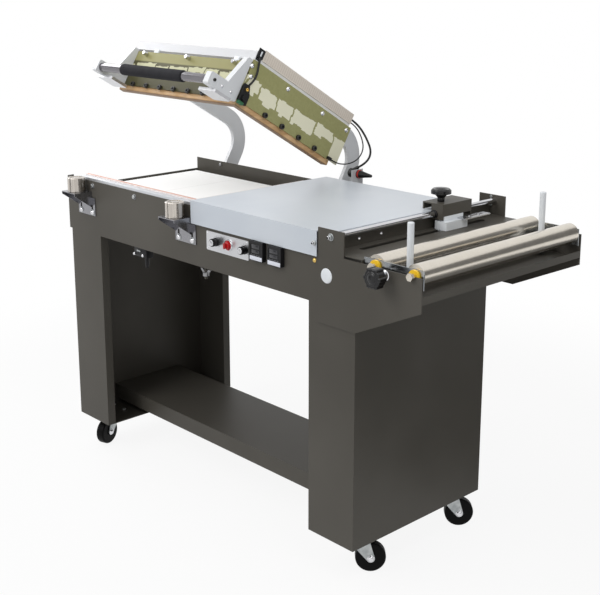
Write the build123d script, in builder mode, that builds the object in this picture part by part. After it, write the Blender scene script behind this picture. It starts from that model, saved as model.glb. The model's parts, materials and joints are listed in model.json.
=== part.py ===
# L bar sealer: a wheeled table with an exit conveyor, an L shaped sealing arm and a film unwinder.
# Millimetres, X along the film path, Y from the operator's side to the rear, Z up from the floor.
import os
from math import cos, pi, radians, sin, tan

from build123d import *

os.makedirs("parts", exist_ok=True)

LOW = (Align.MIN, Align.MIN, Align.MIN)
MID_LOW = (Align.CENTER, Align.CENTER, Align.MIN)

# Sheet metal and general fits
SHEET = 2.0                 # folded body sheet
PLATE = 3.0                 # unwinder and bracket plate
RUN_FIT = 0.05              # radial play of a turning or sliding bore
AIR = 0.5                   # air between a knob or wheel and its neighbour

# Table
TABLE_LENGTH = 1084.0
TABLE_DEPTH = 580.0
TABLE_HEIGHT = 156.0
UNWIND_REACH = 284.0        # unwinder beyond the right end of the table
BOX_DEPTH = 680.0           # from the magnets to the open arm's bend
FRONT_REACH = 65.0          # magnets in front of the table
CASTER_HEIGHT = 96.0
LEG_HEIGHT = 581.0
LEG_WIDTH = 150.0
LEG_DEPTH = 470.0
LEG_INSET = 12.0            # table end past the left leg
LEG_LIP = 25.0              # returns along the open side of the left leg
CABINET_PAST = 92.0         # cabinet past the right end of the table
REAR_WALL = 93.0            # rear wall height, clear of the open arms
END_WALL = 120.0            # exit end wall height, under the belt
CORNER_TAB = 20.0

LENGTH = TABLE_LENGTH + UNWIND_REACH
LEFT = -LENGTH / 2
RIGHT = LENGTH / 2
TABLE_RIGHT = LEFT + TABLE_LENGTH
FRONT = FRONT_REACH - BOX_DEPTH / 2
REAR = FRONT + TABLE_DEPTH
PAN_Z = CASTER_HEIGHT + LEG_HEIGHT
PAN_TOP = PAN_Z + SHEET
RIM_Z = PAN_Z + TABLE_HEIGHT
LEG_LEFT = LEFT + LEG_INSET
CABINET_RIGHT = TABLE_RIGHT + CABINET_PAST
CABINET_LEFT = CABINET_RIGHT - LEG_WIDTH

# Sealing line: lower jaws, pads and the closed height of the upper bars
JAW_ABOVE_RIM = 7.0
JAW_TALL = 40.0
JAW_FRONT_DEEP = 38.0
JAW_SIDE_WIDE = 22.0
SIDE_JAW_SHARE = 589.0 / 1084.0  # of the table's length, up to the outer face of the side jaw
FRONT_JAW_FROM_LEFT = 64.0
PAD_WIDE = 14.0
PAD_TALL = 3.0
BAR_WIDE = 20.0
BAR_TALL = 22.0
BAR_GAP = 0.3               # upper bar over the pad when the arm is down
JAW_Z = RIM_Z + JAW_ABOVE_RIM
SEAL_Z = JAW_Z + PAD_TALL
BAR_Z = SEAL_Z + BAR_GAP
JAW_LEFT = LEFT + FRONT_JAW_FROM_LEFT
SIDE_RIGHT = LEFT + SIDE_JAW_SHARE * TABLE_LENGTH
SIDE_LEFT = SIDE_RIGHT - JAW_SIDE_WIDE
JAW_FRONT = FRONT + SHEET

# Hinge of the sealing arm, behind the rear guard
HINGE_FROM_REAR = 70.0
HINGE_UP = 45.0             # hinge axis over the pan
OPEN_ANGLE = 30.7
SHAFT_R = 10.0
ARM_WIDE = 48.0
ARM_THICK = 12.0
BEND_IN = 62.0              # inside radius of the arm's bend
ARM_RISE = 84.3             # arm's lower edge over the pad top
GUARD_GAP = 6.0             # guard to the lowered arm
HINGE_Y = REAR - HINGE_FROM_REAR
HINGE_Z = PAN_TOP + HINGE_UP
ARM_LOW = SEAL_Z + ARM_RISE
ARM_TOP = ARM_LOW + ARM_WIDE
ARM_BACK = HINGE_Y - ARM_WIDE / 2
BEND_Y = ARM_BACK - BEND_IN
BEND_Z = ARM_LOW - BEND_IN
GUARD_Y = ARM_BACK - GUARD_GAP - SHEET
HINGE = Axis((0, HINGE_Y, HINGE_Z), (1, 0, 0))

# Arm dress, in the lowered position
BOARD = 4.0
BOARD_DROP = 15.5           # board's lower edge over the underside of the bars
BAR_IN = 16.0               # front bar's outer face behind the jaw's
BAR_Y = JAW_FRONT + BAR_IN
SIDE_BAR_BACK = 101.0       # side bar's end in front of the hinge axis
BOARD_TAIL = 30.0           # side board past the end of the side bar
CHANNEL_TAIL = 22.0         # side channel past the end of the side bar
CHANNEL_FOOT = 9.0          # strip under the side channel
SIDE_CHANNEL_TALL = 30.0
CHANNEL_WIDE = 24.0
CHANNEL_TALL = 25.0
HANDLE_R = 12.5
HANDLE_WALL = 2.0
HANDLE_OUT = 89.0           # handle axis in front of the front board
HANDLE_UP = 26.0            # handle axis over the pad top
GRIP_R = 16.0
GRIP_END = 105.0            # bare tube at each end of the grip
HAND_BRACKET = 20.0
BRACKET_RISE = 8.0          # bracket's lower edge over the pad top
BOARD_Y = BAR_Y - BOARD
BOARD_Z = BAR_Z + BOARD_DROP
HANDLE_Y = BOARD_Y - HANDLE_OUT
HANDLE_Z = SEAL_Z + HANDLE_UP

# Holding magnets
MAGNET_R = 25.0
MAGNET_TALL = 40.0
MAGNET_OUT = 29.0
MAGNET_FROM_END = 29.0      # left magnet inside the end of the front jaw
MAGNET_FROM_CORNER = 31.0   # right magnet inside the outer face of the side jaw
MAGNET_GAP = 0.5
MAGNET_SHELF = 57.0
MAGNET_PLATE = 68.0
MAGNET_DROP = 70.0
MAGNET_FOOT = 85.0          # bracket's foot, wider than its shelf and clear of the platform's apron
MAGNET_FOOT_LOW = 18.0      # top of the foot under the shelf
MAGNET_SLOT_IN = 14.0
ARMATURE = 8.0
ARMATURE_DEEP = 63.0
ARMATURE_Z = SEAL_Z + BRACKET_RISE - ARMATURE
MAGNET_TOP = ARMATURE_Z - MAGNET_GAP
MAGNET_Z = MAGNET_TOP - MAGNET_TALL
MAGNET_Y = FRONT - MAGNET_OUT
MAGNET_XS = (JAW_LEFT + MAGNET_FROM_END, SIDE_RIGHT - MAGNET_FROM_CORNER)

# Exit conveyor
BELT = 2.0
BELT_AIR = 0.4
BELT_DROP = 33.0            # belt's top under the rim
BELT_FROM_JAW = 5.0         # belt's edge behind the front jaw
BELT_FROM_GUARD = 38.0
BELT_ROLL_R = 20.0
BELT_ROLL_INSET = 49.0      # idle roller from the exit end
BELT_ROLL_CLEAR = 35.0      # drive roller axis from the side jaw
AXLE_R = 6.0
CHEEK_GAP = 6.0             # belt's edge to the cheek
BELT_TOP = RIM_Z - BELT_DROP
BELT_FRONT = JAW_FRONT + JAW_FRONT_DEEP + BELT_FROM_JAW
BELT_BACK = GUARD_Y - BELT_FROM_GUARD
BELT_R = BELT_ROLL_R + BELT_AIR + BELT
BELT_AXIS_Z = BELT_TOP - BELT_R
IDLE_X = LEFT + BELT_ROLL_INSET
DRIVE_X = SIDE_LEFT - BELT_ROLL_CLEAR

# Loading platform
DECK_ABOVE_RIM = 15.0
DECK_FROM_JAW = 5.0
DECK_PAST = 10.0            # platform past the right end of the table
DECK_OVERHANG = 6.0         # front apron in front of the table
DECK_APRON = 60.0
DECK_HEM = 28.0
DECK_RIGHT_HEM = 12.0       # right hem, over the film tray's upstand
DECK_Z = RIM_Z + DECK_ABOVE_RIM
DECK_LEFT = SIDE_RIGHT + DECK_FROM_JAW
DECK_RIGHT = TABLE_RIGHT + DECK_PAST

# Film unwinder
TOWER_BACK = 25.0           # tower plate over the right end of the table
TOWER_WIDE = 82.0
TOWER_ABOVE_RIM = 24.0
PLATE_FOOT = 44.0           # plates down over the cabinet
PLATE_NOSE = 76.0           # height of the plates at the far end
TRAY_DROP = 28.0            # tray shelf under the rim
TRAY_LAP = 6.0              # tray shelf over the table's end wall
TRAY_SHELF = 116.0
TRAY_WELL = 63.0
TRAY_LIP = 15.0
ROLL_R = 25.0
ROLL_PITCH = 111.0
ROLL_FROM_STEP = 37.0       # inner roller axis from the tray's step
ROLL_DROP = 35.0            # roller axes under the rim
BUSH_R = 14.0
BUSH = 5.0
STRIP_LOW = 28.0
STRIP_HIGH = 14.0
ROLL_END = 1.0              # air at each end of a roller
NUT_R = 9.0
NUT = 9.0
ROD_R = 7.0
ROD_FROM_TABLE = 22.0
ROD_ABOVE_RIM = 9.0
GUIDE_BAR_DROP = 36.0
GUIDE_R = 7.5
GUIDE_TALL = 99.0           # guide rod over the roller axes
GUIDE_BLOCK = 24.0
GUIDE_FRONT = 52.0          # front guide from the front plate
GUIDE_REAR = 47.0
CLAMP_R = 25.0
CLAMP_DROP = 12.0
CLAMP_FROM_ROLL = 35.0
STUD_R = 4.0
TOWER_LEFT = TABLE_RIGHT - TOWER_BACK
TOWER_RIGHT = TOWER_LEFT + TOWER_WIDE
TOWER_TOP = RIM_Z + TOWER_ABOVE_RIM
TRAY_Z = RIM_Z - TRAY_DROP
TRAY_LEFT = TABLE_RIGHT - TRAY_LAP
STEP_X = TRAY_LEFT + TRAY_SHELF
ROLL_Z = RIM_Z - ROLL_DROP
ROLL_XS = (STEP_X + ROLL_FROM_STEP, STEP_X + ROLL_FROM_STEP + ROLL_PITCH)
ROD_X = TABLE_RIGHT + ROD_FROM_TABLE
ROD_Z = RIM_Z + ROD_ABOVE_RIM
GUIDE_X = (ROLL_XS[0] + ROLL_XS[1]) / 2
GUIDE_BAR_Z = ROLL_Z - GUIDE_BAR_DROP
CLAMP_X = ROLL_XS[0] + CLAMP_FROM_ROLL
CLAMP_Z = ROLL_Z - CLAMP_DROP

# Film carriage on the unwinder's rod
CAR_FROM_MIDDLE = 55.0      # carriage's front end behind the table's middle
CAR_LONG = 110.0
CAR_WIDE = 64.0
CAR_TOP = 26.0              # channel top over the rod axis
CAR_SKIRT = 4.0             # outer skirt below the rod axis
CAR_BACK = 38.0             # channel over the platform's edge, from the rod axis
CAR_KNOB_IN = 30.0          # knob from the channel's front end
CAR_KNOB_BACK = 6.0         # knob from the rod axis
BAR_SLOT_WIDE = 24.0        # slotted bar behind the channel
BAR_SLOT_LONG = 100.0
BAR_SLOT_BACK = 105.0       # bar's middle from the channel's front end
BAR_SLOT = 64.0
BAR_SLOT_GAP = 8.0
SLOT_WIDE = 18.0
SLOT_FROM_ROD = 19.0
SLOT_MARGIN = 75.0
BLOCK_WIDE = 38.0
BLOCK_LONG = 84.0
BLOCK_TALL = 21.0
CAR_Y = (FRONT + REAR) / 2 + CAR_FROM_MIDDLE
CAR_LEFT = ROD_X - CAR_BACK
CAR_RIGHT = CAR_LEFT + CAR_WIDE
CAR_Z = ROD_Z + CAR_TOP
SLOT_X = ROD_X + SLOT_FROM_ROD

# Controls on the front of the table
PANEL_FROM_DECK = 58.0
PANEL_WIDE = 163.0
PANEL_TALL = 49.0
PANEL_UP = 53.0
PANEL_THICK = 1.5
KNOB_SHAFT_R = 3.0
KNOB_UP = 26.0
FIRST_TIMER = 41.0          # knobs from the left end of the control plate
SWITCH_IN = 88.0
SECOND_TIMER = 151.0
CONTROLLER = 48.0
CONTROLLER_GAP = 15.0
CONTROLLER_PITCH = 65.0
CONTROLLER_UP = 33.0
CONTROLLER_PROUD = 12.0
CONTROLLER_BODY = 45.0
CONTROLLER_DEEP = 60.0
PANEL_LEFT = DECK_LEFT + PANEL_FROM_DECK
PANEL_Z = PAN_Z + PANEL_UP
PANEL_FACE = FRONT - PANEL_THICK
KNOB_XS = (PANEL_LEFT + FIRST_TIMER, PANEL_LEFT + SWITCH_IN, PANEL_LEFT + SECOND_TIMER)
KNOB_Z = PANEL_Z + KNOB_UP
FIRST_CONTROLLER = PANEL_LEFT + PANEL_WIDE + CONTROLLER_GAP + CONTROLLER / 2
CONTROLLER_XS = (FIRST_CONTROLLER, FIRST_CONTROLLER + CONTROLLER_PITCH)
CONTROLLER_Z = PANEL_Z + CONTROLLER_UP

# Shelf and casters
SHELF_UP = 16.0             # shelf's lower edge over the leg's foot
SHELF_LIP = 45.0
SHELF_FROM_FRONT = 125.0
SHELF_DEEP = 243.0
WHEEL_R = 37.5
WHEEL_WIDE = 26.0
TRAIL = 28.0
CASTER_INSET_X = 52.0
CASTER_INSET_Y = 58.0
CASTER_FRONT_INSET = 76.0
CASTER_PLATE = 72.0
CUP_R = 21.0
CUP_TALL = 9.0
CROWN = 5.0
FORK_WALL = 3.0
KING_R = 6.0
CASTER_AXLE_R = 4.0
WING_X = DECK_LEFT + 31.0
WING_Y = FRONT + 16.0


def keep(solid, name):
    """Label one finished sub-part and write it to its STEP file."""
    solid.label = name
    export_step(solid, f"parts/{name}.step")


def keep_raised(solid, name):
    """Swing a piece of the arm from its lowered position to the open one and write it."""
    keep(solid.rotate(HINGE, -OPEN_ANGLE), name)


# Table body: pan and walls, cut down where the belt leaves, the arm leans back and the tray lies
with BuildPart() as chassis:
    with Locations((LEFT, FRONT, PAN_Z)):
        Box(TABLE_LENGTH, TABLE_DEPTH, TABLE_HEIGHT, align=LOW)
    offset(amount=-SHEET, openings=chassis.faces().sort_by(Axis.Z)[-1])
    with Locations((DECK_LEFT, FRONT, RIM_Z)):
        Box(TOWER_LEFT - DECK_LEFT - SHEET, SHEET, DECK_ABOVE_RIM - SHEET, align=LOW)
    with Locations((LEFT, REAR - SHEET, PAN_Z + REAR_WALL)):
        Box(TABLE_LENGTH, SHEET, TABLE_HEIGHT, align=LOW, mode=Mode.SUBTRACT)
    with Locations((LEFT, FRONT + CORNER_TAB, PAN_Z + END_WALL)):
        Box(SHEET, TABLE_DEPTH, TABLE_HEIGHT, align=LOW, mode=Mode.SUBTRACT)
    with Locations((TOWER_LEFT, FRONT, TRAY_Z - SHEET)):
        Box(TABLE_LENGTH, TABLE_DEPTH, TABLE_HEIGHT, align=LOW, mode=Mode.SUBTRACT)
    with BuildSketch(Plane.XZ.offset(-FRONT)):
        with Locations(*[(x, CONTROLLER_Z) for x in CONTROLLER_XS]):
            Rectangle(CONTROLLER_BODY + 2 * RUN_FIT, CONTROLLER_BODY + 2 * RUN_FIT)
        with Locations(*[(x, KNOB_Z) for x in KNOB_XS]):
            Circle(KNOB_SHAFT_R + RUN_FIT)
    extrude(amount=-SHEET, mode=Mode.SUBTRACT)
    with Locations((WING_X, WING_Y, PAN_Z - 34.0)):
        Cylinder(STUD_R, 34.0 + SHEET, align=MID_LOW)
keep(chassis.part, "chassis")

# Guard in front of the hinge, with the drive roller's axle hole
with BuildPart() as rear_guard:
    with Locations((LEFT + SHEET, GUARD_Y, PAN_TOP)):
        Box(TOWER_LEFT - LEFT - 2 * SHEET, SHEET, RIM_Z - PAN_TOP, align=LOW)
    with BuildSketch(Plane.XZ.offset(-GUARD_Y)):
        with Locations((DRIVE_X, BELT_AXIS_Z)):
            Circle(AXLE_R + 2.0)
    extrude(amount=-SHEET, mode=Mode.SUBTRACT)
keep(rear_guard.part, "rear_guard")

# Left leg: a channel open towards the middle, with returns along its edges
with BuildPart() as left_leg:
    with Locations((LEG_LEFT, FRONT, CASTER_HEIGHT)):
        Box(LEG_WIDTH, LEG_DEPTH, LEG_HEIGHT, align=LOW)
    with Locations((LEG_LEFT + SHEET, FRONT + SHEET, CASTER_HEIGHT + SHEET)):
        Box(LEG_WIDTH - 2 * SHEET, LEG_DEPTH - 2 * SHEET, LEG_HEIGHT - 2 * SHEET,
            align=LOW, mode=Mode.SUBTRACT)
    with Locations((LEG_LEFT + LEG_WIDTH - SHEET, FRONT + LEG_LIP, CASTER_HEIGHT + SHEET)):
        Box(SHEET, LEG_DEPTH - 2 * LEG_LIP, LEG_HEIGHT - 2 * SHEET, align=LOW, mode=Mode.SUBTRACT)
keep(left_leg.part, "left_leg")

# Right leg: an electrical cabinet with a cable opening under the table
with BuildPart() as right_cabinet:
    with Locations((CABINET_LEFT, FRONT, CASTER_HEIGHT)):
        Box(LEG_WIDTH, LEG_DEPTH, LEG_HEIGHT, align=LOW)
    with Locations((CABINET_LEFT + SHEET, FRONT + SHEET, CASTER_HEIGHT + SHEET)):
        Box(LEG_WIDTH - 2 * SHEET, LEG_DEPTH - 2 * SHEET, LEG_HEIGHT - 2 * SHEET,
            align=LOW, mode=Mode.SUBTRACT)
    with Locations((CABINET_LEFT + 8.0, FRONT + LEG_DEPTH / 4, PAN_Z - SHEET)):
        Box(LEG_WIDTH - CABINET_PAST - 16.0, LEG_DEPTH / 2, SHEET, align=LOW, mode=Mode.SUBTRACT)
keep(right_cabinet.part, "right_cabinet")

# Seal transformer on the cabinet floor: foot, core and winding
CORE_WIDE = 60.0
CORE_DEEP = 120.0
CORE_TALL = 100.0
CORE_FOOT = 4.0
FOOT_PAST = 25.0
COIL_PAST = 18.0
COIL_DEEP = 74.0
COIL_TALL = 60.0
with BuildPart() as transformer:
    with Locations(((CABINET_LEFT + CABINET_RIGHT) / 2, FRONT + LEG_DEPTH / 2, CASTER_HEIGHT + SHEET)):
        Box(CORE_WIDE + 2 * FOOT_PAST, CORE_DEEP + 10.0, CORE_FOOT, align=MID_LOW)
        with Locations((0, 0, CORE_FOOT)):
            Box(CORE_WIDE, CORE_DEEP, CORE_TALL, align=MID_LOW)
        with Locations((0, 0, CORE_FOOT + (CORE_TALL - COIL_TALL) / 2)):
            Box(CORE_WIDE + 2 * COIL_PAST, COIL_DEEP, COIL_TALL, align=MID_LOW)
    fillet(transformer.edges().filter_by(Axis.Z).group_by(Axis.X)[0], 10.0)
keep(transformer.part, "transformer")

# Shelf between the legs: a sheet with folded lips all round
with BuildPart() as shelf:
    with Locations((LEG_LEFT + SHEET, FRONT + SHELF_FROM_FRONT, CASTER_HEIGHT + SHELF_UP)):
        Box(CABINET_LEFT - LEG_LEFT - SHEET, SHELF_DEEP, SHELF_LIP, align=LOW)
    offset(amount=-SHEET, openings=shelf.faces().sort_by(Axis.Z)[0])
keep(shelf.part, "shelf")

# Loading platform: top with front apron, rear hem and right hem, notched round the tower plate
with BuildPart() as platform:
    with BuildSketch(Plane.XY.offset(DECK_Z - SHEET)):
        with BuildLine():
            Polyline(
                (DECK_LEFT, FRONT - DECK_OVERHANG), (TOWER_LEFT - SHEET, FRONT - DECK_OVERHANG),
                (TOWER_LEFT - SHEET, FRONT + AIR), (DECK_RIGHT, FRONT + AIR),
                (DECK_RIGHT, GUARD_Y), (DECK_LEFT, GUARD_Y), close=True)
        make_face()
    extrude(amount=SHEET)
    with Locations((DECK_LEFT, FRONT - DECK_OVERHANG, DECK_Z - DECK_APRON)):
        Box(TOWER_LEFT - SHEET - DECK_LEFT, SHEET, DECK_APRON, align=LOW)
    with Locations((DECK_LEFT, GUARD_Y - SHEET, DECK_Z - DECK_HEM)):
        Box(TOWER_LEFT - 2 * SHEET - DECK_LEFT, SHEET, DECK_HEM, align=LOW)
    with Locations((DECK_RIGHT - SHEET, FRONT + AIR, DECK_Z - DECK_RIGHT_HEM)):
        Box(SHEET, GUARD_Y - FRONT - AIR, DECK_RIGHT_HEM, align=LOW)
keep(platform.part, "platform")

# Film tray: upstand under the platform's hem, shelf, well and end lip, with the carriage's slot
with BuildPart() as film_tray:
    with BuildSketch(Plane.XZ.offset(-FRONT)):
        with BuildLine():
            Polyline(
                (TRAY_LEFT, TRAY_Z), (DECK_RIGHT - SHEET, TRAY_Z),
                (DECK_RIGHT - SHEET, DECK_Z - DECK_RIGHT_HEM), (DECK_RIGHT, DECK_Z - DECK_RIGHT_HEM),
                (DECK_RIGHT, TRAY_Z), (STEP_X, TRAY_Z), (STEP_X, TRAY_Z - TRAY_WELL),
                (RIGHT - SHEET, TRAY_Z - TRAY_WELL), (RIGHT - SHEET, TRAY_Z - TRAY_WELL + TRAY_LIP),
                (RIGHT, TRAY_Z - TRAY_WELL + TRAY_LIP), (RIGHT, TRAY_Z - TRAY_WELL - SHEET),
                (STEP_X - SHEET, TRAY_Z - TRAY_WELL - SHEET), (STEP_X - SHEET, TRAY_Z - SHEET),
                (TRAY_LEFT, TRAY_Z - SHEET), close=True)
        make_face()
    extrude(amount=-TABLE_DEPTH)
    with BuildSketch(Plane.XY.offset(TRAY_Z)):
        with Locations((SLOT_X, (FRONT + REAR) / 2)):
            SlotOverall(TABLE_DEPTH - 2 * SLOT_MARGIN + SLOT_WIDE, SLOT_WIDE, rotation=90)
    extrude(amount=-SHEET, mode=Mode.SUBTRACT)
keep(film_tray.part, "film_tray")


def unwinder_plate(outer_y):
    """One unwinder side plate, its outer face at outer_y, with axle notches and the clamp hole."""
    with BuildPart() as plate:
        with BuildSketch(Plane.XZ.offset(-outer_y)):
            with BuildLine():
                Polyline(
                    (TOWER_LEFT, PAN_Z - PLATE_FOOT), (TOWER_LEFT, TOWER_TOP), (TOWER_RIGHT, TOWER_TOP),
                    (TOWER_RIGHT, ROLL_Z), (RIGHT, ROLL_Z), (RIGHT, ROLL_Z - PLATE_NOSE),
                    (CABINET_RIGHT, PAN_Z - PLATE_FOOT), close=True)
            make_face()
            with Locations(*[(x, ROLL_Z) for x in ROLL_XS]):
                Circle(AXLE_R + 1.0, mode=Mode.SUBTRACT)
            with Locations((CLAMP_X, CLAMP_Z)):
                Circle(STUD_R + RUN_FIT, mode=Mode.SUBTRACT)
        extrude(amount=-PLATE)
    return plate.part


keep(unwinder_plate(FRONT - PLATE), "unwinder_plate_front")
keep(unwinder_plate(REAR), "unwinder_plate_rear")

# Rods between the plates: the carriage's rod and the film guides' bar
with BuildPart() as cross_rods:
    with BuildSketch(Plane.XZ.offset(-FRONT)):
        with Locations((ROD_X, ROD_Z)):
            Circle(ROD_R)
        with Locations((GUIDE_X, GUIDE_BAR_Z)):
            Circle(AXLE_R)
    extrude(amount=-TABLE_DEPTH)
keep(cross_rods.part, "cross_rods")

# Strips that hold the roller bushes against the plates, and the bushes
with BuildPart() as roller_strips:
    with BuildSketch(Plane.XZ.offset(-FRONT - BUSH)):
        with BuildLine():
            Polyline(
                (STEP_X + SHEET, ROLL_Z - STRIP_LOW), (RIGHT - SHEET, ROLL_Z - STRIP_LOW),
                (RIGHT - SHEET, ROLL_Z + STRIP_HIGH), (STEP_X + SHEET, ROLL_Z + STRIP_HIGH), close=True)
        make_face()
        with Locations(*[(x, ROLL_Z) for x in ROLL_XS]):
            Circle(AXLE_R + 1.5, mode=Mode.SUBTRACT)
    extrude(amount=-SHEET)
    mirror(about=Plane.XZ.offset(-(FRONT + REAR) / 2))
keep(roller_strips.part, "roller_strips")

with BuildPart() as roller_bushes:
    with BuildSketch(Plane.XZ.offset(-FRONT)):
        with Locations(*[(x, ROLL_Z) for x in ROLL_XS]):
            Circle(BUSH_R)
            Circle(AXLE_R + RUN_FIT, mode=Mode.SUBTRACT)
    extrude(amount=-BUSH)
    mirror(about=Plane.XZ.offset(-(FRONT + REAR) / 2))
keep(roller_bushes.part, "roller_bushes")


def unwind_roller(x):
    """A film roller at x on its own axle, with a nut outside each plate."""
    roll_end = BUSH + SHEET + ROLL_END
    with BuildPart() as roller:
        with BuildSketch(Plane.XZ.offset(-FRONT - roll_end)):
            with Locations((x, ROLL_Z)):
                Circle(ROLL_R)
        extrude(amount=-(TABLE_DEPTH - 2 * roll_end))
        nut_y = FRONT - PLATE - SHEET - NUT
        with BuildSketch(Plane.XZ.offset(-nut_y)):
            with Locations((x, ROLL_Z)):
                Circle(AXLE_R)
        extrude(amount=-(TABLE_DEPTH + 2 * (PLATE + SHEET + NUT)))
        with BuildSketch(Plane.XZ.offset(-nut_y), Plane.XZ.offset(-(REAR + PLATE + SHEET))):
            with Locations((x, ROLL_Z)):
                RegularPolygon(NUT_R, 6)
        extrude(amount=-NUT)
    return roller.part


keep(unwind_roller(ROLL_XS[0]), "unwind_roller_inner")
keep(unwind_roller(ROLL_XS[1]), "unwind_roller_outer")


def film_guide(y):
    """An upright film guide rod on a block that slides along the guide bar."""
    with BuildPart() as guide:
        with Locations((GUIDE_X, y, GUIDE_BAR_Z)):
            Box(GUIDE_BLOCK, GUIDE_BLOCK, GUIDE_BLOCK)
        fillet(guide.edges().filter_by(Axis.Y), 3.0)
        with BuildSketch(Plane.XY.offset(GUIDE_BAR_Z)):
            with Locations((GUIDE_X, y)):
                Circle(GUIDE_R)
        extrude(amount=ROLL_Z + GUIDE_TALL - GUIDE_BAR_Z)
        fillet(guide.edges().group_by(Axis.Z)[-1], 2.0)
        with BuildSketch(Plane.XZ.offset(-y)):
            with Locations((GUIDE_X, GUIDE_BAR_Z)):
                Circle(AXLE_R + RUN_FIT)
        extrude(amount=GUIDE_BLOCK, both=True, mode=Mode.SUBTRACT)
    return guide.part


keep(film_guide(FRONT + GUIDE_FRONT), "film_guide_front")
keep(film_guide(REAR - GUIDE_REAR), "film_guide_rear")

# Clamp knob on the front plate: stud, collar and lobed head
with BuildPart() as clamp_knob:
    with BuildSketch(Plane.XZ.offset(-FRONT - SHEET)):
        with Locations((CLAMP_X, CLAMP_Z)):
            Circle(STUD_R)
    extrude(amount=PLATE + SHEET + 20.0)
    with BuildSketch(Plane.XZ.offset(-FRONT + PLATE + AIR)):
        with Locations((CLAMP_X, CLAMP_Z)):
            Circle(NUT_R)
    extrude(amount=22.0)
    with BuildSketch(Plane.XZ.offset(-FRONT + PLATE + AIR + 22.0)):
        with Locations((CLAMP_X, CLAMP_Z)):
            Circle(CLAMP_R - 3.0)
            with PolarLocations(CLAMP_R - 6.0, 6):
                Circle(6.0)
    extrude(amount=22.0)
    fillet(clamp_knob.faces().sort_by(Axis.Y)[0].edges(), 3.0)
keep(clamp_knob.part, "clamp_knob")

# Film carriage: channel on the rod with two end plates, and a slotted bar behind it
with BuildPart() as carriage_channel:
    with BuildSketch(Plane.XZ.offset(-CAR_Y)):
        with BuildLine():
            Polyline(
                (CAR_LEFT, DECK_Z + SHEET), (CAR_LEFT, CAR_Z), (CAR_RIGHT, CAR_Z),
                (CAR_RIGHT, ROD_Z - CAR_SKIRT), (CAR_RIGHT - PLATE, ROD_Z - CAR_SKIRT),
                (CAR_RIGHT - PLATE, CAR_Z - PLATE),
                (CAR_LEFT + PLATE, CAR_Z - PLATE), (CAR_LEFT + PLATE, DECK_Z + SHEET), close=True)
        make_face()
    extrude(amount=-CAR_LONG)
    end_low = ROD_Z - ROD_R - 2 * PLATE
    end_left = DECK_RIGHT + SHEET
    with BuildSketch(Plane.XZ.offset(-CAR_Y), Plane.XZ.offset(-(CAR_Y + CAR_LONG - PLATE))):
        with BuildLine():
            Polyline(
                (end_left, end_low), (CAR_RIGHT, end_low), (CAR_RIGHT, CAR_Z), (end_left, CAR_Z), close=True)
        make_face()
        with Locations((ROD_X, ROD_Z)):
            Circle(ROD_R + RUN_FIT, mode=Mode.SUBTRACT)
    extrude(amount=-PLATE)
    with Locations((ROD_X - CAR_KNOB_BACK, CAR_Y + CAR_KNOB_IN, CAR_Z)):
        Hole(STUD_R + RUN_FIT, depth=PLATE)
    with BuildSketch(Plane.XY.offset(TRAY_Z + AIR + BLOCK_TALL)):
        with Locations((CAR_RIGHT + BAR_SLOT_WIDE / 2 + 1.0, CAR_Y + BAR_SLOT_BACK)):
            Rectangle(BAR_SLOT_WIDE, BAR_SLOT_LONG)
            SlotOverall(BAR_SLOT, BAR_SLOT_GAP, rotation=90, mode=Mode.SUBTRACT)
    extrude(amount=PLATE)
keep(carriage_channel.part, "carriage_channel")

# Nylon block on the tray shelf, its tongue in the slot and a step under the channel
with BuildPart() as carriage_block:
    with Locations((SLOT_X - 17.0, CAR_Y - 3.0, TRAY_Z + AIR)):
        Box(BLOCK_WIDE, BLOCK_LONG, BLOCK_TALL, align=LOW)
    fillet(carriage_block.edges().filter_by(Axis.Z), 4.0)
    with Locations((ROD_X + ROD_R + 2.0, CAR_Y + 2 * PLATE, TRAY_Z + AIR + BLOCK_TALL)):
        Box(CAR_RIGHT - ROD_X - ROD_R - 2.0, BLOCK_LONG - 3 * PLATE - 3.0,
            ROD_Z - CAR_SKIRT - TRAY_Z - AIR - BLOCK_TALL, align=LOW)
    with Locations((SLOT_X, CAR_Y + BLOCK_LONG / 2 - 3.0, TRAY_Z - 2 * SHEET)):
        Box(SLOT_WIDE - 2 * 0.3, BLOCK_LONG - 10.0, 2 * SHEET + AIR, align=MID_LOW)
keep(carriage_block.part, "carriage_block")

# Round knob on the carriage, its stud through the channel's top
with BuildPart() as carriage_knob:
    with BuildSketch(Plane.XZ.offset(-(CAR_Y + CAR_KNOB_IN))):
        with BuildLine():
            knob_x = ROD_X - CAR_KNOB_BACK
            Polyline(
                (knob_x, CAR_Z - 12.0), (knob_x + STUD_R, CAR_Z - 12.0), (knob_x + STUD_R, CAR_Z + AIR),
                (knob_x + 9.0, CAR_Z + AIR), (knob_x + 9.0, CAR_Z + 10.0), (knob_x + 16.0, CAR_Z + 18.0),
                (knob_x + 25.0, CAR_Z + 20.0), (knob_x + 25.0, CAR_Z + 28.0), (knob_x + 21.0, CAR_Z + 32.0),
                (knob_x, CAR_Z + 32.0), close=True)
        make_face()
    revolve(axis=Axis((knob_x, CAR_Y + CAR_KNOB_IN, 0), (0, 0, 1)))
keep(carriage_knob.part, "carriage_knob")

# Lower jaws along the front wall and across to the guard, with their sealing pads
with BuildPart() as lower_jaws:
    with Locations((JAW_LEFT, JAW_FRONT, JAW_Z - JAW_TALL)):
        Box(SIDE_LEFT - JAW_LEFT, JAW_FRONT_DEEP, JAW_TALL, align=LOW)
    with Locations((SIDE_LEFT, JAW_FRONT, JAW_Z - JAW_TALL)):
        Box(JAW_SIDE_WIDE, GUARD_Y - JAW_FRONT, JAW_TALL, align=LOW)
keep(lower_jaws.part, "lower_jaws")

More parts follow.
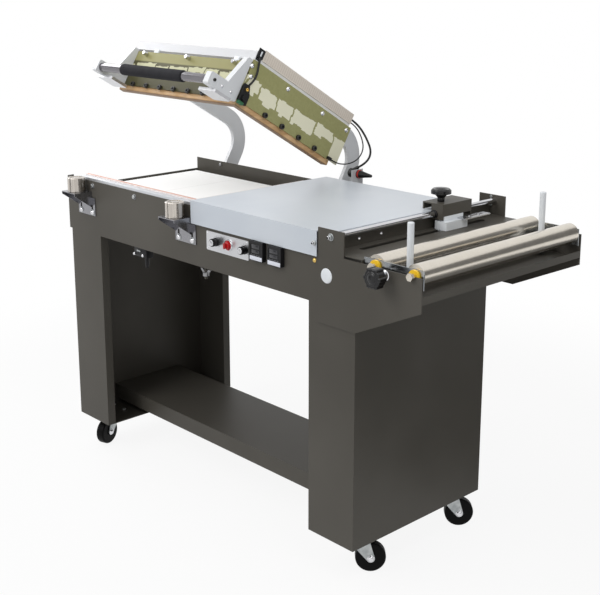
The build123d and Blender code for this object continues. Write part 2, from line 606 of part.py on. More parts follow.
PAD_Y = BAR_Y + (BAR_WIDE - PAD_WIDE) / 2
PAD_X = SIDE_RIGHT - (BAR_WIDE + PAD_WIDE) / 2
with BuildPart() as jaw_pads:
    with Locations((JAW_LEFT, PAD_Y, JAW_Z)):
        Box(PAD_X + PAD_WIDE - JAW_LEFT, PAD_WIDE, PAD_TALL, align=LOW)
    with Locations((PAD_X, PAD_Y, JAW_Z)):
        Box(PAD_WIDE, HINGE_Y - SIDE_BAR_BACK - PAD_Y, PAD_TALL, align=LOW)
    fillet(jaw_pads.edges().filter_by(Axis.Z), 2.0)
keep(jaw_pads.part, "jaw_pads")

# Conveyor: belt loop, bed with cheeks, two rollers and the gearmotor behind the guard
BELT_MID_X = (IDLE_X + DRIVE_X) / 2
BELT_SPAN = DRIVE_X - IDLE_X
with BuildPart() as conveyor_belt:
    with BuildSketch(Plane.XZ.offset(-BELT_FRONT)):
        with Locations((BELT_MID_X, BELT_AXIS_Z)):
            SlotCenterToCenter(BELT_SPAN, 2 * BELT_R)
            SlotCenterToCenter(BELT_SPAN, 2 * (BELT_R - BELT), mode=Mode.SUBTRACT)
    extrude(amount=-(BELT_BACK - BELT_FRONT))
keep(conveyor_belt.part, "conveyor_belt")

CHEEK_FRONT = BELT_FRONT - CHEEK_GAP - PLATE
CHEEK_BACK = BELT_BACK + CHEEK_GAP
BED_Z = BELT_TOP - BELT - AIR
with BuildPart() as conveyor_bed:
    with BuildSketch(Plane.XZ.offset(-CHEEK_FRONT), Plane.XZ.offset(-CHEEK_BACK)):
        with BuildLine():
            Polyline(
                (IDLE_X - 20.0, BED_Z - 36.0), (IDLE_X - 20.0, BED_Z), (DRIVE_X + 20.0, BED_Z),
                (DRIVE_X + 20.0, BED_Z - 36.0), (DRIVE_X - 60.0, PAN_TOP), (DRIVE_X - 130.0, PAN_TOP),
                (DRIVE_X - 180.0, BED_Z - 50.0), (IDLE_X + 180.0, BED_Z - 50.0),
                (IDLE_X + 130.0, PAN_TOP), (IDLE_X + 60.0, PAN_TOP), close=True)
        make_face()
        with Locations((IDLE_X, BELT_AXIS_Z), (DRIVE_X, BELT_AXIS_Z)):
            Circle(AXLE_R + RUN_FIT, mode=Mode.SUBTRACT)
    extrude(amount=-PLATE)
    with Locations((IDLE_X + BELT_R + 4.0, CHEEK_FRONT + PLATE, BED_Z - SHEET)):
        Box(BELT_SPAN - 2 * BELT_R - 8.0, CHEEK_BACK - CHEEK_FRONT - PLATE, SHEET, align=LOW)
keep(conveyor_bed.part, "conveyor_bed")

MOTOR_SHAFT = 12.0


def belt_roller(x, axle_back):
    """A belt roller at x whose axle runs from the front cheek to axle_back."""
    with BuildPart() as roller:
        with BuildSketch(Plane.XZ.offset(-(BELT_FRONT + 2.0))):
            with Locations((x, BELT_AXIS_Z)):
                Circle(BELT_ROLL_R)
        extrude(amount=-(BELT_BACK - BELT_FRONT - 4.0))
        with BuildSketch(Plane.XZ.offset(-CHEEK_FRONT)):
            with Locations((x, BELT_AXIS_Z)):
                Circle(AXLE_R)
        extrude(amount=-(axle_back - CHEEK_FRONT))
    return roller.part


keep(belt_roller(IDLE_X, CHEEK_BACK + PLATE), "conveyor_idle_roller")
keep(belt_roller(DRIVE_X, GUARD_Y + SHEET + MOTOR_SHAFT), "conveyor_drive_roller")

# Gearmotor: gearbox on the guard, motor body and the bore for the drive axle
with BuildPart() as conveyor_motor:
    motor_y = GUARD_Y + SHEET
    with Locations((DRIVE_X, motor_y + 20.0, BELT_AXIS_Z)):
        Box(72.0, 40.0, 72.0)
    fillet(conveyor_motor.edges().filter_by(Axis.Y), 6.0)
    with BuildSketch(Plane.XZ.offset(-(motor_y + 40.0))):
        with Locations((DRIVE_X, BELT_AXIS_Z)):
            Circle(32.0)
    extrude(amount=-50.0)
    with BuildSketch(Plane.XZ.offset(-motor_y)):
        with Locations((DRIVE_X, BELT_AXIS_Z)):
            Circle(AXLE_R + RUN_FIT)
    extrude(amount=-(MOTOR_SHAFT + 1.0), mode=Mode.SUBTRACT)
keep(conveyor_motor.part, "conveyor_motor")

# Magnet brackets: a slotted back plate, a shelf and two gussets each
with BuildPart() as magnet_brackets:
    for x in MAGNET_XS:
        with Locations((x - MAGNET_PLATE / 2, FRONT - PLATE, MAGNET_Z - MAGNET_DROP)):
            Box(MAGNET_PLATE, PLATE, MAGNET_DROP, align=LOW)
            Box(MAGNET_FOOT, PLATE, MAGNET_DROP - MAGNET_FOOT_LOW, align=LOW)
        with Locations((x - MAGNET_PLATE / 2, FRONT - MAGNET_SHELF, MAGNET_Z - SHEET)):
            Box(MAGNET_PLATE, MAGNET_SHELF, SHEET, align=LOW)
        gusset_left = x - MAGNET_PLATE / 2
        gusset_right = x + MAGNET_PLATE / 2 - SHEET
        with BuildSketch(Plane.YZ.offset(gusset_left), Plane.YZ.offset(gusset_right)):
            with BuildLine():
                Polyline(
                    (FRONT - PLATE, MAGNET_Z - 46.0), (FRONT - PLATE, MAGNET_Z - SHEET),
                    (FRONT - MAGNET_SHELF, MAGNET_Z - SHEET), (FRONT - MAGNET_SHELF, MAGNET_Z - 8.0),
                    close=True)
            make_face()
        extrude(amount=SHEET)
        with BuildSketch(Plane.XZ.offset(-FRONT + PLATE)):
            first_slot = x - MAGNET_PLATE / 2 + MAGNET_SLOT_IN
            second_slot = first_slot + MAGNET_FOOT - 2 * MAGNET_SLOT_IN
            with Locations((first_slot, MAGNET_Z - 52.0), (second_slot, MAGNET_Z - 52.0)):
                SlotOverall(26.0, 7.0, rotation=90)
        extrude(amount=-PLATE, mode=Mode.SUBTRACT)
keep(magnet_brackets.part, "magnet_brackets")

with BuildPart() as electromagnets:
    with Locations(*[(x, MAGNET_Y, MAGNET_Z) for x in MAGNET_XS]):
        Cylinder(MAGNET_R, MAGNET_TALL, align=MID_LOW)
    chamfer(electromagnets.edges().filter_by(GeomType.CIRCLE), 1.0)
    with BuildSketch(Plane.XY.offset(MAGNET_TOP)):
        with Locations(*[(x, MAGNET_Y) for x in MAGNET_XS]):
            Circle(18.0)
            Circle(12.0, mode=Mode.SUBTRACT)
    extrude(amount=-1.0, mode=Mode.SUBTRACT)
keep(electromagnets.part, "electromagnets")

# Control plate with its shaft holes, the three knobs and the two temperature controllers
with BuildPart() as control_plate:
    with BuildSketch(Plane.XZ.offset(-FRONT)):
        with Locations((PANEL_LEFT + PANEL_WIDE / 2, PANEL_Z + PANEL_TALL / 2)):
            RectangleRounded(PANEL_WIDE, PANEL_TALL, 3.0)
        with Locations(*[(x, KNOB_Z) for x in KNOB_XS]):
            Circle(KNOB_SHAFT_R + RUN_FIT, mode=Mode.SUBTRACT)
    extrude(amount=PANEL_THICK)
keep(control_plate.part, "control_plate")


def panel_knob(x, foot_r, head_r, tall, grip):
    """A knob on a shaft through the control plate; grip is the width of a raised finger bar, or 0."""
    with BuildPart() as knob:
        with BuildSketch(Plane.XZ.offset(-FRONT - SHEET - 8.0)):
            with Locations((x, KNOB_Z)):
                Circle(KNOB_SHAFT_R)
        extrude(amount=PANEL_THICK + SHEET + 8.0 + AIR)
        with BuildSketch(Plane.XZ.offset(-PANEL_FACE + AIR)):
            with Locations((x, KNOB_Z)):
                Circle(foot_r)
        extrude(amount=4.0)
        with BuildSketch(Plane.XZ.offset(-PANEL_FACE + AIR + 4.0)):
            with Locations((x, KNOB_Z)):
                Circle(head_r)
        extrude(amount=tall - 4.0)
        chamfer(knob.faces().sort_by(Axis.Y)[0].edges(), 1.0)
        if grip:
            with BuildSketch(Plane.XZ.offset(-PANEL_FACE + AIR + tall)):
                with Locations((x, KNOB_Z)):
                    SlotOverall(2 * head_r - 3.0, grip, rotation=90)
            extrude(amount=7.0)
    return knob.part


keep(panel_knob(KNOB_XS[0], 11.0, 9.5, 18.0, 0), "timer_knob_left")
keep(panel_knob(KNOB_XS[1], 12.0, 9.0, 9.0, 5.0), "power_switch")
keep(panel_knob(KNOB_XS[2], 11.0, 9.5, 18.0, 0), "timer_knob_right")

with BuildPart() as temperature_controllers:
    with BuildSketch(Plane.XZ.offset(-FRONT)):
        with Locations(*[(x, CONTROLLER_Z) for x in CONTROLLER_XS]):
            RectangleRounded(CONTROLLER, CONTROLLER, 2.0)
    extrude(amount=CONTROLLER_PROUD)
    with BuildSketch(Plane.XZ.offset(-FRONT)):
        with Locations(*[(x, CONTROLLER_Z) for x in CONTROLLER_XS]):
            Rectangle(CONTROLLER_BODY, CONTROLLER_BODY)
    extrude(amount=-CONTROLLER_DEEP)
    with BuildSketch(Plane.XZ.offset(-FRONT + CONTROLLER_PROUD)):
        with Locations(*[(x, CONTROLLER_Z + 3.0) for x in CONTROLLER_XS]):
            RectangleRounded(CONTROLLER - 10.0, CONTROLLER - 20.0, 2.0)
    extrude(amount=-1.0, mode=Mode.SUBTRACT)
keep(temperature_controllers.part, "temperature_controllers")

# Hinge: bearing blocks on the pan, shaft and torsion springs
BEARING_WIDE = 30.0
BEARING_R = 20.0
BEARING_FOOT = 28.0
BEARING_FROM_LEFT = 60.0    # bearing blocks inside the arms
BEARING_FROM_RIGHT = 135.0
BEARING_XS = (JAW_LEFT + BEARING_FROM_LEFT, SIDE_RIGHT - BEARING_FROM_RIGHT)
SPRING_LONG = 60.0
with BuildPart() as hinge_bearings:
    for x in BEARING_XS:
        with BuildSketch(Plane.YZ.offset(x - BEARING_WIDE / 2)):
            with BuildLine():
                Polyline(
                    (HINGE_Y - BEARING_FOOT, PAN_TOP), (HINGE_Y + BEARING_FOOT, PAN_TOP),
                    (HINGE_Y + BEARING_FOOT, PAN_TOP + 10.0), (HINGE_Y + BEARING_R, PAN_TOP + 14.0),
                    (HINGE_Y + BEARING_R, HINGE_Z), (HINGE_Y - BEARING_R, HINGE_Z),
                    (HINGE_Y - BEARING_R, PAN_TOP + 14.0), (HINGE_Y - BEARING_FOOT, PAN_TOP + 10.0),
                    close=True)
            make_face()
            with Locations((HINGE_Y, HINGE_Z)):
                Circle(BEARING_R)
                Circle(SHAFT_R + RUN_FIT, mode=Mode.SUBTRACT)
        extrude(amount=BEARING_WIDE)
keep(hinge_bearings.part, "hinge_bearings")

SHAFT_LEFT = JAW_LEFT - 15.0
SHAFT_RIGHT = SIDE_RIGHT + 15.0
with BuildPart() as hinge_shaft:
    with BuildSketch(Plane.YZ.offset(SHAFT_LEFT)):
        with Locations((HINGE_Y, HINGE_Z)):
            Circle(SHAFT_R)
    extrude(amount=SHAFT_RIGHT - SHAFT_LEFT)
    chamfer(hinge_shaft.edges().filter_by(GeomType.CIRCLE), 1.0)
keep(hinge_shaft.part, "hinge_shaft")

WIRE_R = 2.5
COILS = 10
SPRING_OFF = BEARING_WIDE / 2 + 4.0 + SPRING_LONG / 2
SPRING_XS = (BEARING_XS[0] + SPRING_OFF, BEARING_XS[1] - SPRING_OFF)
with BuildPart() as return_springs:
    for middle in SPRING_XS:
        with BuildSketch(Plane.XY.offset(HINGE_Z)):
            with Locations((middle, HINGE_Y + SHAFT_R + WIRE_R / 2)):
                Rectangle(SPRING_LONG, WIRE_R)
            with Locations((middle, HINGE_Y + SHAFT_R + WIRE_R)):
                with GridLocations(SPRING_LONG / COILS, 0, COILS, 1):
                    Circle(WIRE_R)
        revolve(axis=HINGE)
keep(return_springs.part, "return_springs")

# Sealing arm, modelled in its lowered position and swung open as it is written
ARM_XS = (JAW_LEFT, SIDE_RIGHT - ARM_THICK)
with BuildPart() as hinge_arms:
    for x in ARM_XS:
        with BuildSketch(Plane.YZ.offset(x)):
            with Locations((BEND_Y, BEND_Z)):
                Circle(BEND_IN + ARM_WIDE)
                Circle(BEND_IN, mode=Mode.SUBTRACT)
            with Locations((BEND_Y, BEND_Z - ARM_WIDE - BEND_IN)):
                Rectangle(4 * BEND_IN + 4 * ARM_WIDE, 2 * (ARM_WIDE + BEND_IN), mode=Mode.SUBTRACT)
            with Locations((BEND_Y - ARM_WIDE - BEND_IN, BEND_Z)):
                Rectangle(2 * (ARM_WIDE + BEND_IN), 4 * (ARM_WIDE + BEND_IN), mode=Mode.SUBTRACT)
            with Locations(((BAR_Y + BEND_Y) / 2, ARM_LOW + ARM_WIDE / 2)):
                Rectangle(BEND_Y - BAR_Y, ARM_WIDE)
            with Locations((HINGE_Y, (HINGE_Z + BEND_Z) / 2)):
                Rectangle(ARM_WIDE, BEND_Z - HINGE_Z)
            with Locations((HINGE_Y, HINGE_Z)):
                Circle(ARM_WIDE / 2)
                Circle(SHAFT_R, mode=Mode.SUBTRACT)
        extrude(amount=ARM_THICK)
keep_raised(hinge_arms.part, "hinge_arms")

SIDE_END = HINGE_Y - SIDE_BAR_BACK
with BuildPart() as seal_bars:
    with Locations((JAW_LEFT, BAR_Y, BAR_Z)):
        Box(SIDE_RIGHT - BAR_WIDE - JAW_LEFT, BAR_WIDE, BAR_TALL, align=LOW)
    with Locations((SIDE_RIGHT - BAR_WIDE, BAR_Y, BAR_Z)):
        Box(BAR_WIDE, SIDE_END - BAR_Y, BAR_TALL, align=LOW)
    fillet(seal_bars.edges().group_by(Axis.Z)[0].filter_by(Axis.X), 4.0)
keep_raised(seal_bars.part, "seal_bars")

# Insulating boards on the front and the side of the arm
BOARD_TALL = ARM_TOP - BOARD_Z
with BuildPart() as boards:
    with Locations((JAW_LEFT, BOARD_Y, BOARD_Z)):
        Box(SIDE_RIGHT - JAW_LEFT, BOARD, BOARD_TALL - 8.0, align=LOW)
    with Locations((SIDE_RIGHT, BAR_Y, BOARD_Z)):
        Box(BOARD, SIDE_END + BOARD_TAIL - BAR_Y, BOARD_TALL, align=LOW)
keep_raised(boards.part, "boards")

# Wire channels along the top of the arm, hollow, the side one on a strip
CHANNEL_END = SIDE_END + CHANNEL_TAIL
SIDE_CHANNEL_Z = ARM_TOP + CHANNEL_FOOT + SIDE_CHANNEL_TALL / 2
with BuildPart() as wire_channels:
    with BuildSketch(Plane.YZ.offset(JAW_LEFT)):
        with Locations((BAR_Y + CHANNEL_WIDE / 2, ARM_TOP + CHANNEL_TALL / 2)):
            Rectangle(CHANNEL_WIDE, CHANNEL_TALL)
            Rectangle(CHANNEL_WIDE - 2 * SHEET, CHANNEL_TALL - 2 * SHEET, mode=Mode.SUBTRACT)
    extrude(amount=SIDE_RIGHT + BOARD - JAW_LEFT)
    with BuildSketch(Plane.XZ.offset(-(BAR_Y + CHANNEL_WIDE))):
        with Locations((SIDE_RIGHT + BOARD - CHANNEL_WIDE / 2, SIDE_CHANNEL_Z)):
            Rectangle(CHANNEL_WIDE, SIDE_CHANNEL_TALL)
            Rectangle(CHANNEL_WIDE - 2 * SHEET, SIDE_CHANNEL_TALL - 2 * SHEET, mode=Mode.SUBTRACT)
        with Locations((SIDE_RIGHT + BOARD - CHANNEL_WIDE / 2, ARM_TOP + CHANNEL_FOOT / 2)):
            Rectangle(CHANNEL_WIDE - 2 * PLATE, CHANNEL_FOOT)
    extrude(amount=-(CHANNEL_END - BAR_Y - CHANNEL_WIDE))
keep_raised(wire_channels.part, "wire_channels")

# Handle: two cranked brackets on the front board, a tube between them and a foam grip
HAND_LEFT = JAW_LEFT + HAND_BRACKET
HAND_RIGHT = SIDE_RIGHT + PLATE - HAND_BRACKET
with BuildPart() as handle_brackets:
    with BuildSketch(Plane.YZ.offset(JAW_LEFT), Plane.YZ.offset(HAND_RIGHT)):
        with BuildLine():
            low = SEAL_Z + BRACKET_RISE
            Polyline(
                (BOARD_Y, low), (BOARD_Y, ARM_TOP - 3.0), (BOARD_Y - 14.0, ARM_TOP - 3.0),
                (BOARD_Y - 46.0, HANDLE_Z + 17.0), (HANDLE_Y - 17.0, HANDLE_Z + 17.0),
                (HANDLE_Y - 17.0, low), close=True)
        make_face()
        fillet(vertices().group_by(Axis.X)[0], 6.0)
        with Locations((HANDLE_Y, HANDLE_Z)):
            Circle(HANDLE_R, mode=Mode.SUBTRACT)
    extrude(amount=HAND_BRACKET)
keep_raised(handle_brackets.part, "handle_brackets")

with BuildPart() as handle_tube:
    with BuildSketch(Plane.YZ.offset(JAW_LEFT)):
        with Locations((HANDLE_Y, HANDLE_Z)):
            Circle(HANDLE_R)
            Circle(HANDLE_R - HANDLE_WALL, mode=Mode.SUBTRACT)
    extrude(amount=HAND_RIGHT + HAND_BRACKET - JAW_LEFT)
keep_raised(handle_tube.part, "handle_tube")

with BuildPart() as handle_grip:
    with BuildSketch(Plane.YZ.offset(HAND_LEFT + GRIP_END)):
        with Locations((HANDLE_Y, HANDLE_Z)):
            Circle(GRIP_R)
            Circle(HANDLE_R, mode=Mode.SUBTRACT)
    extrude(amount=HAND_RIGHT - HAND_LEFT - 2 * GRIP_END)
keep_raised(handle_grip.part, "handle_grip")

with BuildPart() as armature_plates:
    with Locations(*[(x, MAGNET_Y - 2.5, ARMATURE_Z) for x in MAGNET_XS]):
        Box(MAGNET_PLATE, ARMATURE_DEEP, ARMATURE, align=MID_LOW)
    chamfer(armature_plates.edges().filter_by(Axis.Z), 4.0)
keep_raised(armature_plates.part, "armature_plates")

# Wire tensioner on the corner of the arm: a cranked block with a round boss, and the thin lead's clip
CLIP = 8.0
CLIP_LONG = 14.0
CLIP_X = SIDE_RIGHT + BOARD + CLIP / 2
CLIP_Y = SIDE_END - 16.0
CLIP_Z = BOARD_Z + CLIP / 2
with BuildPart() as corner_tensioner:
    with BuildSketch(Plane.YZ.offset(SIDE_RIGHT + BOARD)):
        with BuildLine():
            Polyline(
                (BOARD_Y + 2.0, BOARD_Z - 5.5), (BOARD_Y + 30.0, BOARD_Z - 5.5),
                (BOARD_Y + 30.0, BOARD_Z + 21.5), (BOARD_Y + 18.0, BOARD_Z + 46.5),
                (BOARD_Y + 2.0, BOARD_Z + 46.5), close=True)
        make_face()
    extrude(amount=9.0)
    with BuildSketch(Plane.YZ.offset(SIDE_RIGHT + BOARD + 9.0)):
        with Locations((BOARD_Y + 15.0, BOARD_Z + 9.5)):
            Circle(9.0)
    extrude(amount=6.0)
    with Locations((SIDE_RIGHT + BOARD, CLIP_Y, CLIP_Z - CLIP / 2)):
        Box(CLIP, CLIP_LONG, CLIP, align=LOW)
keep_raised(corner_tensioner.part, "corner_tensioner")

# Connector for the heater lead behind the platform: an upright plate, the socket with its gland and a plug
SOCKET_X = DECK_LEFT + 45.0
SOCKET_Y = REAR - 20.0
SOCKET_Z = RIM_Z + 19.0
SOCKET_R = 13.0
SOCKET_LONG = 28.0
SOCKET_PLATE = 44.0
PLUG_LONG = 50.0
GLAND_R = 5.0
GLAND_LONG = 20.0
GLAND_WAY = Vector(0.75, 0.44, 0.49).normalized()
GLAND_FOOT = Vector(SOCKET_X - 0.66 * SOCKET_LONG, SOCKET_Y - 0.2 * SOCKET_R, SOCKET_Z + 0.62 * SOCKET_R)
GLAND_END = GLAND_FOOT + GLAND_WAY * GLAND_LONG
with BuildPart() as lead_socket:
    with Locations((SOCKET_X, REAR - SHEET - SOCKET_PLATE, PAN_TOP)):
        Box(PLATE, SOCKET_PLATE, SOCKET_Z + SOCKET_R - PAN_TOP, align=LOW)
    with BuildSketch(Plane.YZ.offset(SOCKET_X - SOCKET_LONG)):
        with Locations((SOCKET_Y, SOCKET_Z)):
            Circle(SOCKET_R)
    extrude(amount=SOCKET_LONG)
    with BuildSketch(Plane.YZ.offset(SOCKET_X + PLATE)):
        with Locations((SOCKET_Y, SOCKET_Z)):
            Circle(SOCKET_R - 1.0)
    extrude(amount=PLUG_LONG, taper=9)
    with BuildSketch(Plane(GLAND_FOOT, z_dir=GLAND_WAY)):
        Circle(GLAND_R)
    extrude(amount=GLAND_LONG)
keep(lead_socket.part, "lead_socket")


def lead_tube(points, radius):
    """A plain lead along straight runs, joined by arcs as large as the runs allow."""
    radii = []
    for before, corner, after in zip(points, points[1:], points[2:]):
        turn = radians((corner - before).get_angle(after - corner))
        shorter = min((corner - before).length, (after - corner).length)
        radii.append(0.45 * shorter / tan(turn / 2))
    with BuildPart() as tube:
        with BuildLine() as route:
            FilletPolyline(*points, radius=radii)
        with BuildSketch(Plane(points[0], z_dir=points[1] - points[0])):
            Circle(radius)
        sweep(path=route.wires()[0])
    length = route.wires()[0].length
    share = tube.part.volume / (pi * radius ** 2 * length)
    print("lead of", round(length), "mm, radii", [round(r) for r in radii], "volume share", round(share, 3))
    return tube.part


def raised(x, y, z):
    """Where a point of the lowered arm stands when the arm is open."""
    swing = radians(OPEN_ANGLE)
    back = y - HINGE_Y
    up = z - HINGE_Z
    turned_y = back * cos(swing) + up * sin(swing)
    turned_z = up * cos(swing) - back * sin(swing)
    return Vector(x, HINGE_Y + turned_y, HINGE_Z + turned_z)


ALONG_ARM = raised(0, 1, 0) - raised(0, 0, 0)

# Heater lead, from the end of the arm's side channel round to the gland of the socket
LEAD_R = 3.0
lead_start = raised(SIDE_RIGHT - 2.0, CHANNEL_END, SIDE_CHANNEL_Z)
heater_points = [
    lead_start, lead_start + ALONG_ARM * 20.0, lead_start + Vector(13, 29, -29),
    GLAND_END + Vector(-13, 47, 75), GLAND_END + Vector(18, 35, 42), GLAND_END + GLAND_WAY * 28.0, GLAND_END]
keep(lead_tube(heater_points, LEAD_R), "heater_lead")

# Thin lead on the arm, from the same channel end back to the clip at the end of the side bar
THIN_R = 1.8
thin_start = raised(SIDE_RIGHT + 2.0, CHANNEL_END, ARM_TOP + CHANNEL_FOOT + SHEET + THIN_R + 1.0)
thin_end = raised(CLIP_X, CLIP_Y + CLIP_LONG, CLIP_Z)
thin_points = [
    thin_start, thin_start + ALONG_ARM * 22.0, thin_start + Vector(12, 30, -36),
    thin_end + Vector(21, 114, 25), thin_end + Vector(23, 95, -3), thin_end + Vector(15, 71, -17),
    thin_end + Vector(5, 45, -19), thin_end + ALONG_ARM * 24.0, thin_end]
keep(lead_tube(thin_points, THIN_R), "board_lead")

# Wing nut on the stud under the table
with BuildPart() as wing_nut:
    with Locations((WING_X, WING_Y, PAN_Z - 26.0)):
        Cylinder(8.0, 10.0, align=MID_LOW)
    with BuildSketch(Plane.XZ.offset(-WING_Y)):
        with BuildLine():
            Polyline(
                (WING_X - 20.0, PAN_Z - 8.0), (WING_X - 12.0, PAN_Z - 8.0), (WING_X, PAN_Z - 18.0),
                (WING_X + 12.0, PAN_Z - 8.0), (WING_X + 20.0, PAN_Z - 8.0), (WING_X + 6.0, PAN_Z - 24.0),
                (WING_X - 6.0, PAN_Z - 24.0), close=True)
        make_face()
    extrude(amount=2.0, both=True)
    with Locations((WING_X, WING_Y, PAN_Z - 30.0)):
        Cylinder(STUD_R + RUN_FIT, 30.0, align=MID_LOW, mode=Mode.SUBTRACT)
keep(wing_nut.part, "wing_nut")

# Casters: a plate with a cup and king pin, a swivel fork and a wheel at each corner
CASTERS = {
    "front_left": (LEG_LEFT + CASTER_INSET_X, FRONT + CASTER_FRONT_INSET, -71.0),
    "rear_left": (LEG_LEFT + CASTER_INSET_X, FRONT + LEG_DEPTH - CASTER_INSET_Y, 47.0),
    "front_right": (CABINET_RIGHT - CASTER_INSET_X, FRONT + CASTER_FRONT_INSET, 47.0),
    "rear_right": (CABINET_RIGHT - CASTER_INSET_X, FRONT + LEG_DEPTH - CASTER_INSET_Y, 47.0),
}
CUP_Z = CASTER_HEIGHT - PLATE - CUP_TALL
CROWN_TOP = CUP_Z - AIR
CROWN_Z = CROWN_TOP - CROWN
with BuildPart() as caster_plates:
    for x, y, turn in CASTERS.values():
        with Locations((x, y, CASTER_HEIGHT - PLATE)):
            Box(CASTER_PLATE, CASTER_PLATE, PLATE, align=MID_LOW)
        with Locations((x, y, CUP_Z)):
            Cylinder(CUP_R, CUP_TALL, align=MID_LOW)
        with Locations((x, y, CROWN_Z)):
            Cylinder(KING_R, CUP_Z - CROWN_Z, align=MID_LOW)
keep(caster_plates.part, "caster_plates")


def caster_fork(x, y, turn):
    """A swivel fork whose wheel trails from (x, y) in the direction turn, in degrees."""
    upright = Plane((x, y, 0), x_dir=(cos(radians(turn)), sin(radians(turn)), 0),
                    z_dir=(sin(radians(turn)), -cos(radians(turn)), 0))
    half = WHEEL_WIDE / 2 + 1.5
    with BuildPart() as fork:
        with Locations((x, y, CROWN_Z)):
            Cylinder(CUP_R, CROWN, align=MID_LOW)
        with BuildSketch(upright.offset(half), upright.offset(-half - FORK_WALL)):
            with Locations((TRAIL, WHEEL_R)):
                Circle(10.0)
            with Locations((2.0, CROWN_Z + CROWN / 2)):
                Rectangle(46.0, CROWN)
            make_hull()
        extrude(amount=FORK_WALL)
        with BuildSketch(upright.offset(-half - FORK_WALL)):
            with Locations((TRAIL, WHEEL_R)):
                Circle(CASTER_AXLE_R)
        extrude(amount=2 * (half + FORK_WALL))
        with Locations((x, y, CROWN_Z)):
            Cylinder(KING_R + RUN_FIT, CROWN, align=MID_LOW, mode=Mode.SUBTRACT)
    return fork.part


def caster_wheel(x, y, turn):
    """A wheel on the fork's axle, with a rounded tread and recessed sides."""
    axle = Plane((x + TRAIL * cos(radians(turn)), y + TRAIL * sin(radians(turn)), WHEEL_R),
                 x_dir=(cos(radians(turn)), sin(radians(turn)), 0),
                 z_dir=(sin(radians(turn)), -cos(radians(turn)), 0))
    with BuildPart() as wheel:
        with BuildSketch(axle.offset(-WHEEL_WIDE / 2)):
            Circle(WHEEL_R)
            Circle(CASTER_AXLE_R + RUN_FIT, mode=Mode.SUBTRACT)
        extrude(amount=WHEEL_WIDE)
        fillet(wheel.edges().filter_by(GeomType.CIRCLE).group_by(SortBy.RADIUS)[-1], 5.0)
    return wheel.part


for corner, (x, y, turn) in CASTERS.items():
    keep(caster_fork(x, y, turn), f"caster_fork_{corner}")
    keep(caster_wheel(x, y, turn), f"caster_wheel_{corner}")
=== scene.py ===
import json
from math import cos, pi, radians, sin

import bmesh
import bpy
from mathutils import Matrix, Vector


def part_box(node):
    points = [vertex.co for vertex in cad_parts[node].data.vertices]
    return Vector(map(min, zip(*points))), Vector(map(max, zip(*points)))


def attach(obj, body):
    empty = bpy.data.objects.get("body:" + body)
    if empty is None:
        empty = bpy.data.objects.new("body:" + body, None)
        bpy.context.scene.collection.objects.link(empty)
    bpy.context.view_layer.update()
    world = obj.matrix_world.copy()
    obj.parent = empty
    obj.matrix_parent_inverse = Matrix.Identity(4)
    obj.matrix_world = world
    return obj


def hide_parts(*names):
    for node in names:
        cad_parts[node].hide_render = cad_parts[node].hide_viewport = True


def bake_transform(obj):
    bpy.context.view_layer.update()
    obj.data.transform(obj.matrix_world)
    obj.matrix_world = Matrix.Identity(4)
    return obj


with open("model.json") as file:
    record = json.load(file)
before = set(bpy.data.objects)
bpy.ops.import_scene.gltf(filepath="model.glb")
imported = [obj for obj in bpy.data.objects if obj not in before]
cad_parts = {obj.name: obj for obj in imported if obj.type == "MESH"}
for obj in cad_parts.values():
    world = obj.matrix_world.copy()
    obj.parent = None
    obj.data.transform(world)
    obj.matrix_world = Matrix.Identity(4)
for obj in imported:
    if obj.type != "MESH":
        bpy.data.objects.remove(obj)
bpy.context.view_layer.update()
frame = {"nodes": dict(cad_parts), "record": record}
scene = bpy.context.scene

# Camera of the photograph: metres, degrees and millimetres of lens
CAMERA_PLACE = Vector((2.1277, -1.9737, 1.4221))
CAMERA_AZIMUTH = 46.9
CAMERA_ELEVATION = 13.6
CAMERA_LENS = 66.8
CAMERA_SENSOR = 36.0
CAMERA_SHIFT = -0.1

# Studio light and floor
WHITE = (1.0, 1.0, 1.0, 1.0)
FILL_LIGHT = 0.38
FLOOR_SIDE = 28.0
FLOOR_GREY = 0.86
FLOOR_SHADE = 0.10          # share of the floor's shadow that shows
FLOOR_NEAR = 1.1            # the floor turns plain white between these distances
FLOOR_FAR = 2.2
MATT = 0.9                  # roughness of the floor and the cards

# Directions: x runs to the unwinder, y to the rear and z up
FORWARD = (0, -1, 0)
REARWARD = (0, 1, 0)
RIGHTWARD = (1, 0, 0)
UPWARD = (0, 0, 1)


def joint_row(name):
    """The row of a joint in the part's record."""
    return next(row for row in frame["record"]["behaviour"]["joints"] if row["name"] == name)


# The sealing arm's hinge; the arm's fittings are laid out on the lowered arm
HINGE = Vector(joint_row("arm_hinge")["pos_m"])
ARM_SWING = radians(joint_row("arm_hinge")["range_deg"][1])
LOWER = Matrix.Translation(HINGE) @ Matrix.Rotation(ARM_SWING, 4, "X") @ Matrix.Translation(-HINGE)
RAISE = LOWER.inverted()

# Lowered arm: the boards' outer faces, lower edge and height, and the foot of the channel on top
BOARD_FRONT = -0.261
BOARD_SIDE = -0.091
BOARD_LOW = 0.8588
BOARD_TALL = 0.1165
ARM_TOP = BOARD_LOW + BOARD_TALL
CHANNEL_FOOT = 0.009

# Half a seal pad's width, the width of the carriage's slotted bar, the plate in the lead's socket
PAD_HALF = 0.007
SLOTTED_BAR_WIDE = 0.0245
SOCKET_PLATE_IN = 0.0295

PAINT_EDGE = 0.0002         # half the width of a line between two colours
HEX = 6                     # sides of a hexagon head
CASTERS = ("front_left", "rear_left", "front_right", "rear_right")


def middle_of(node):
    low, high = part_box(node)
    return (low + high) / 2


def srgb(red, green, blue):
    """A colour for the shader, from its usual values of 0 to 255."""
    parts = [v / 255.0 for v in (red, green, blue)]
    return (*[p / 12.92 if p <= 0.04045 else ((p + 0.055) / 1.055) ** 2.4 for p in parts], 1.0)


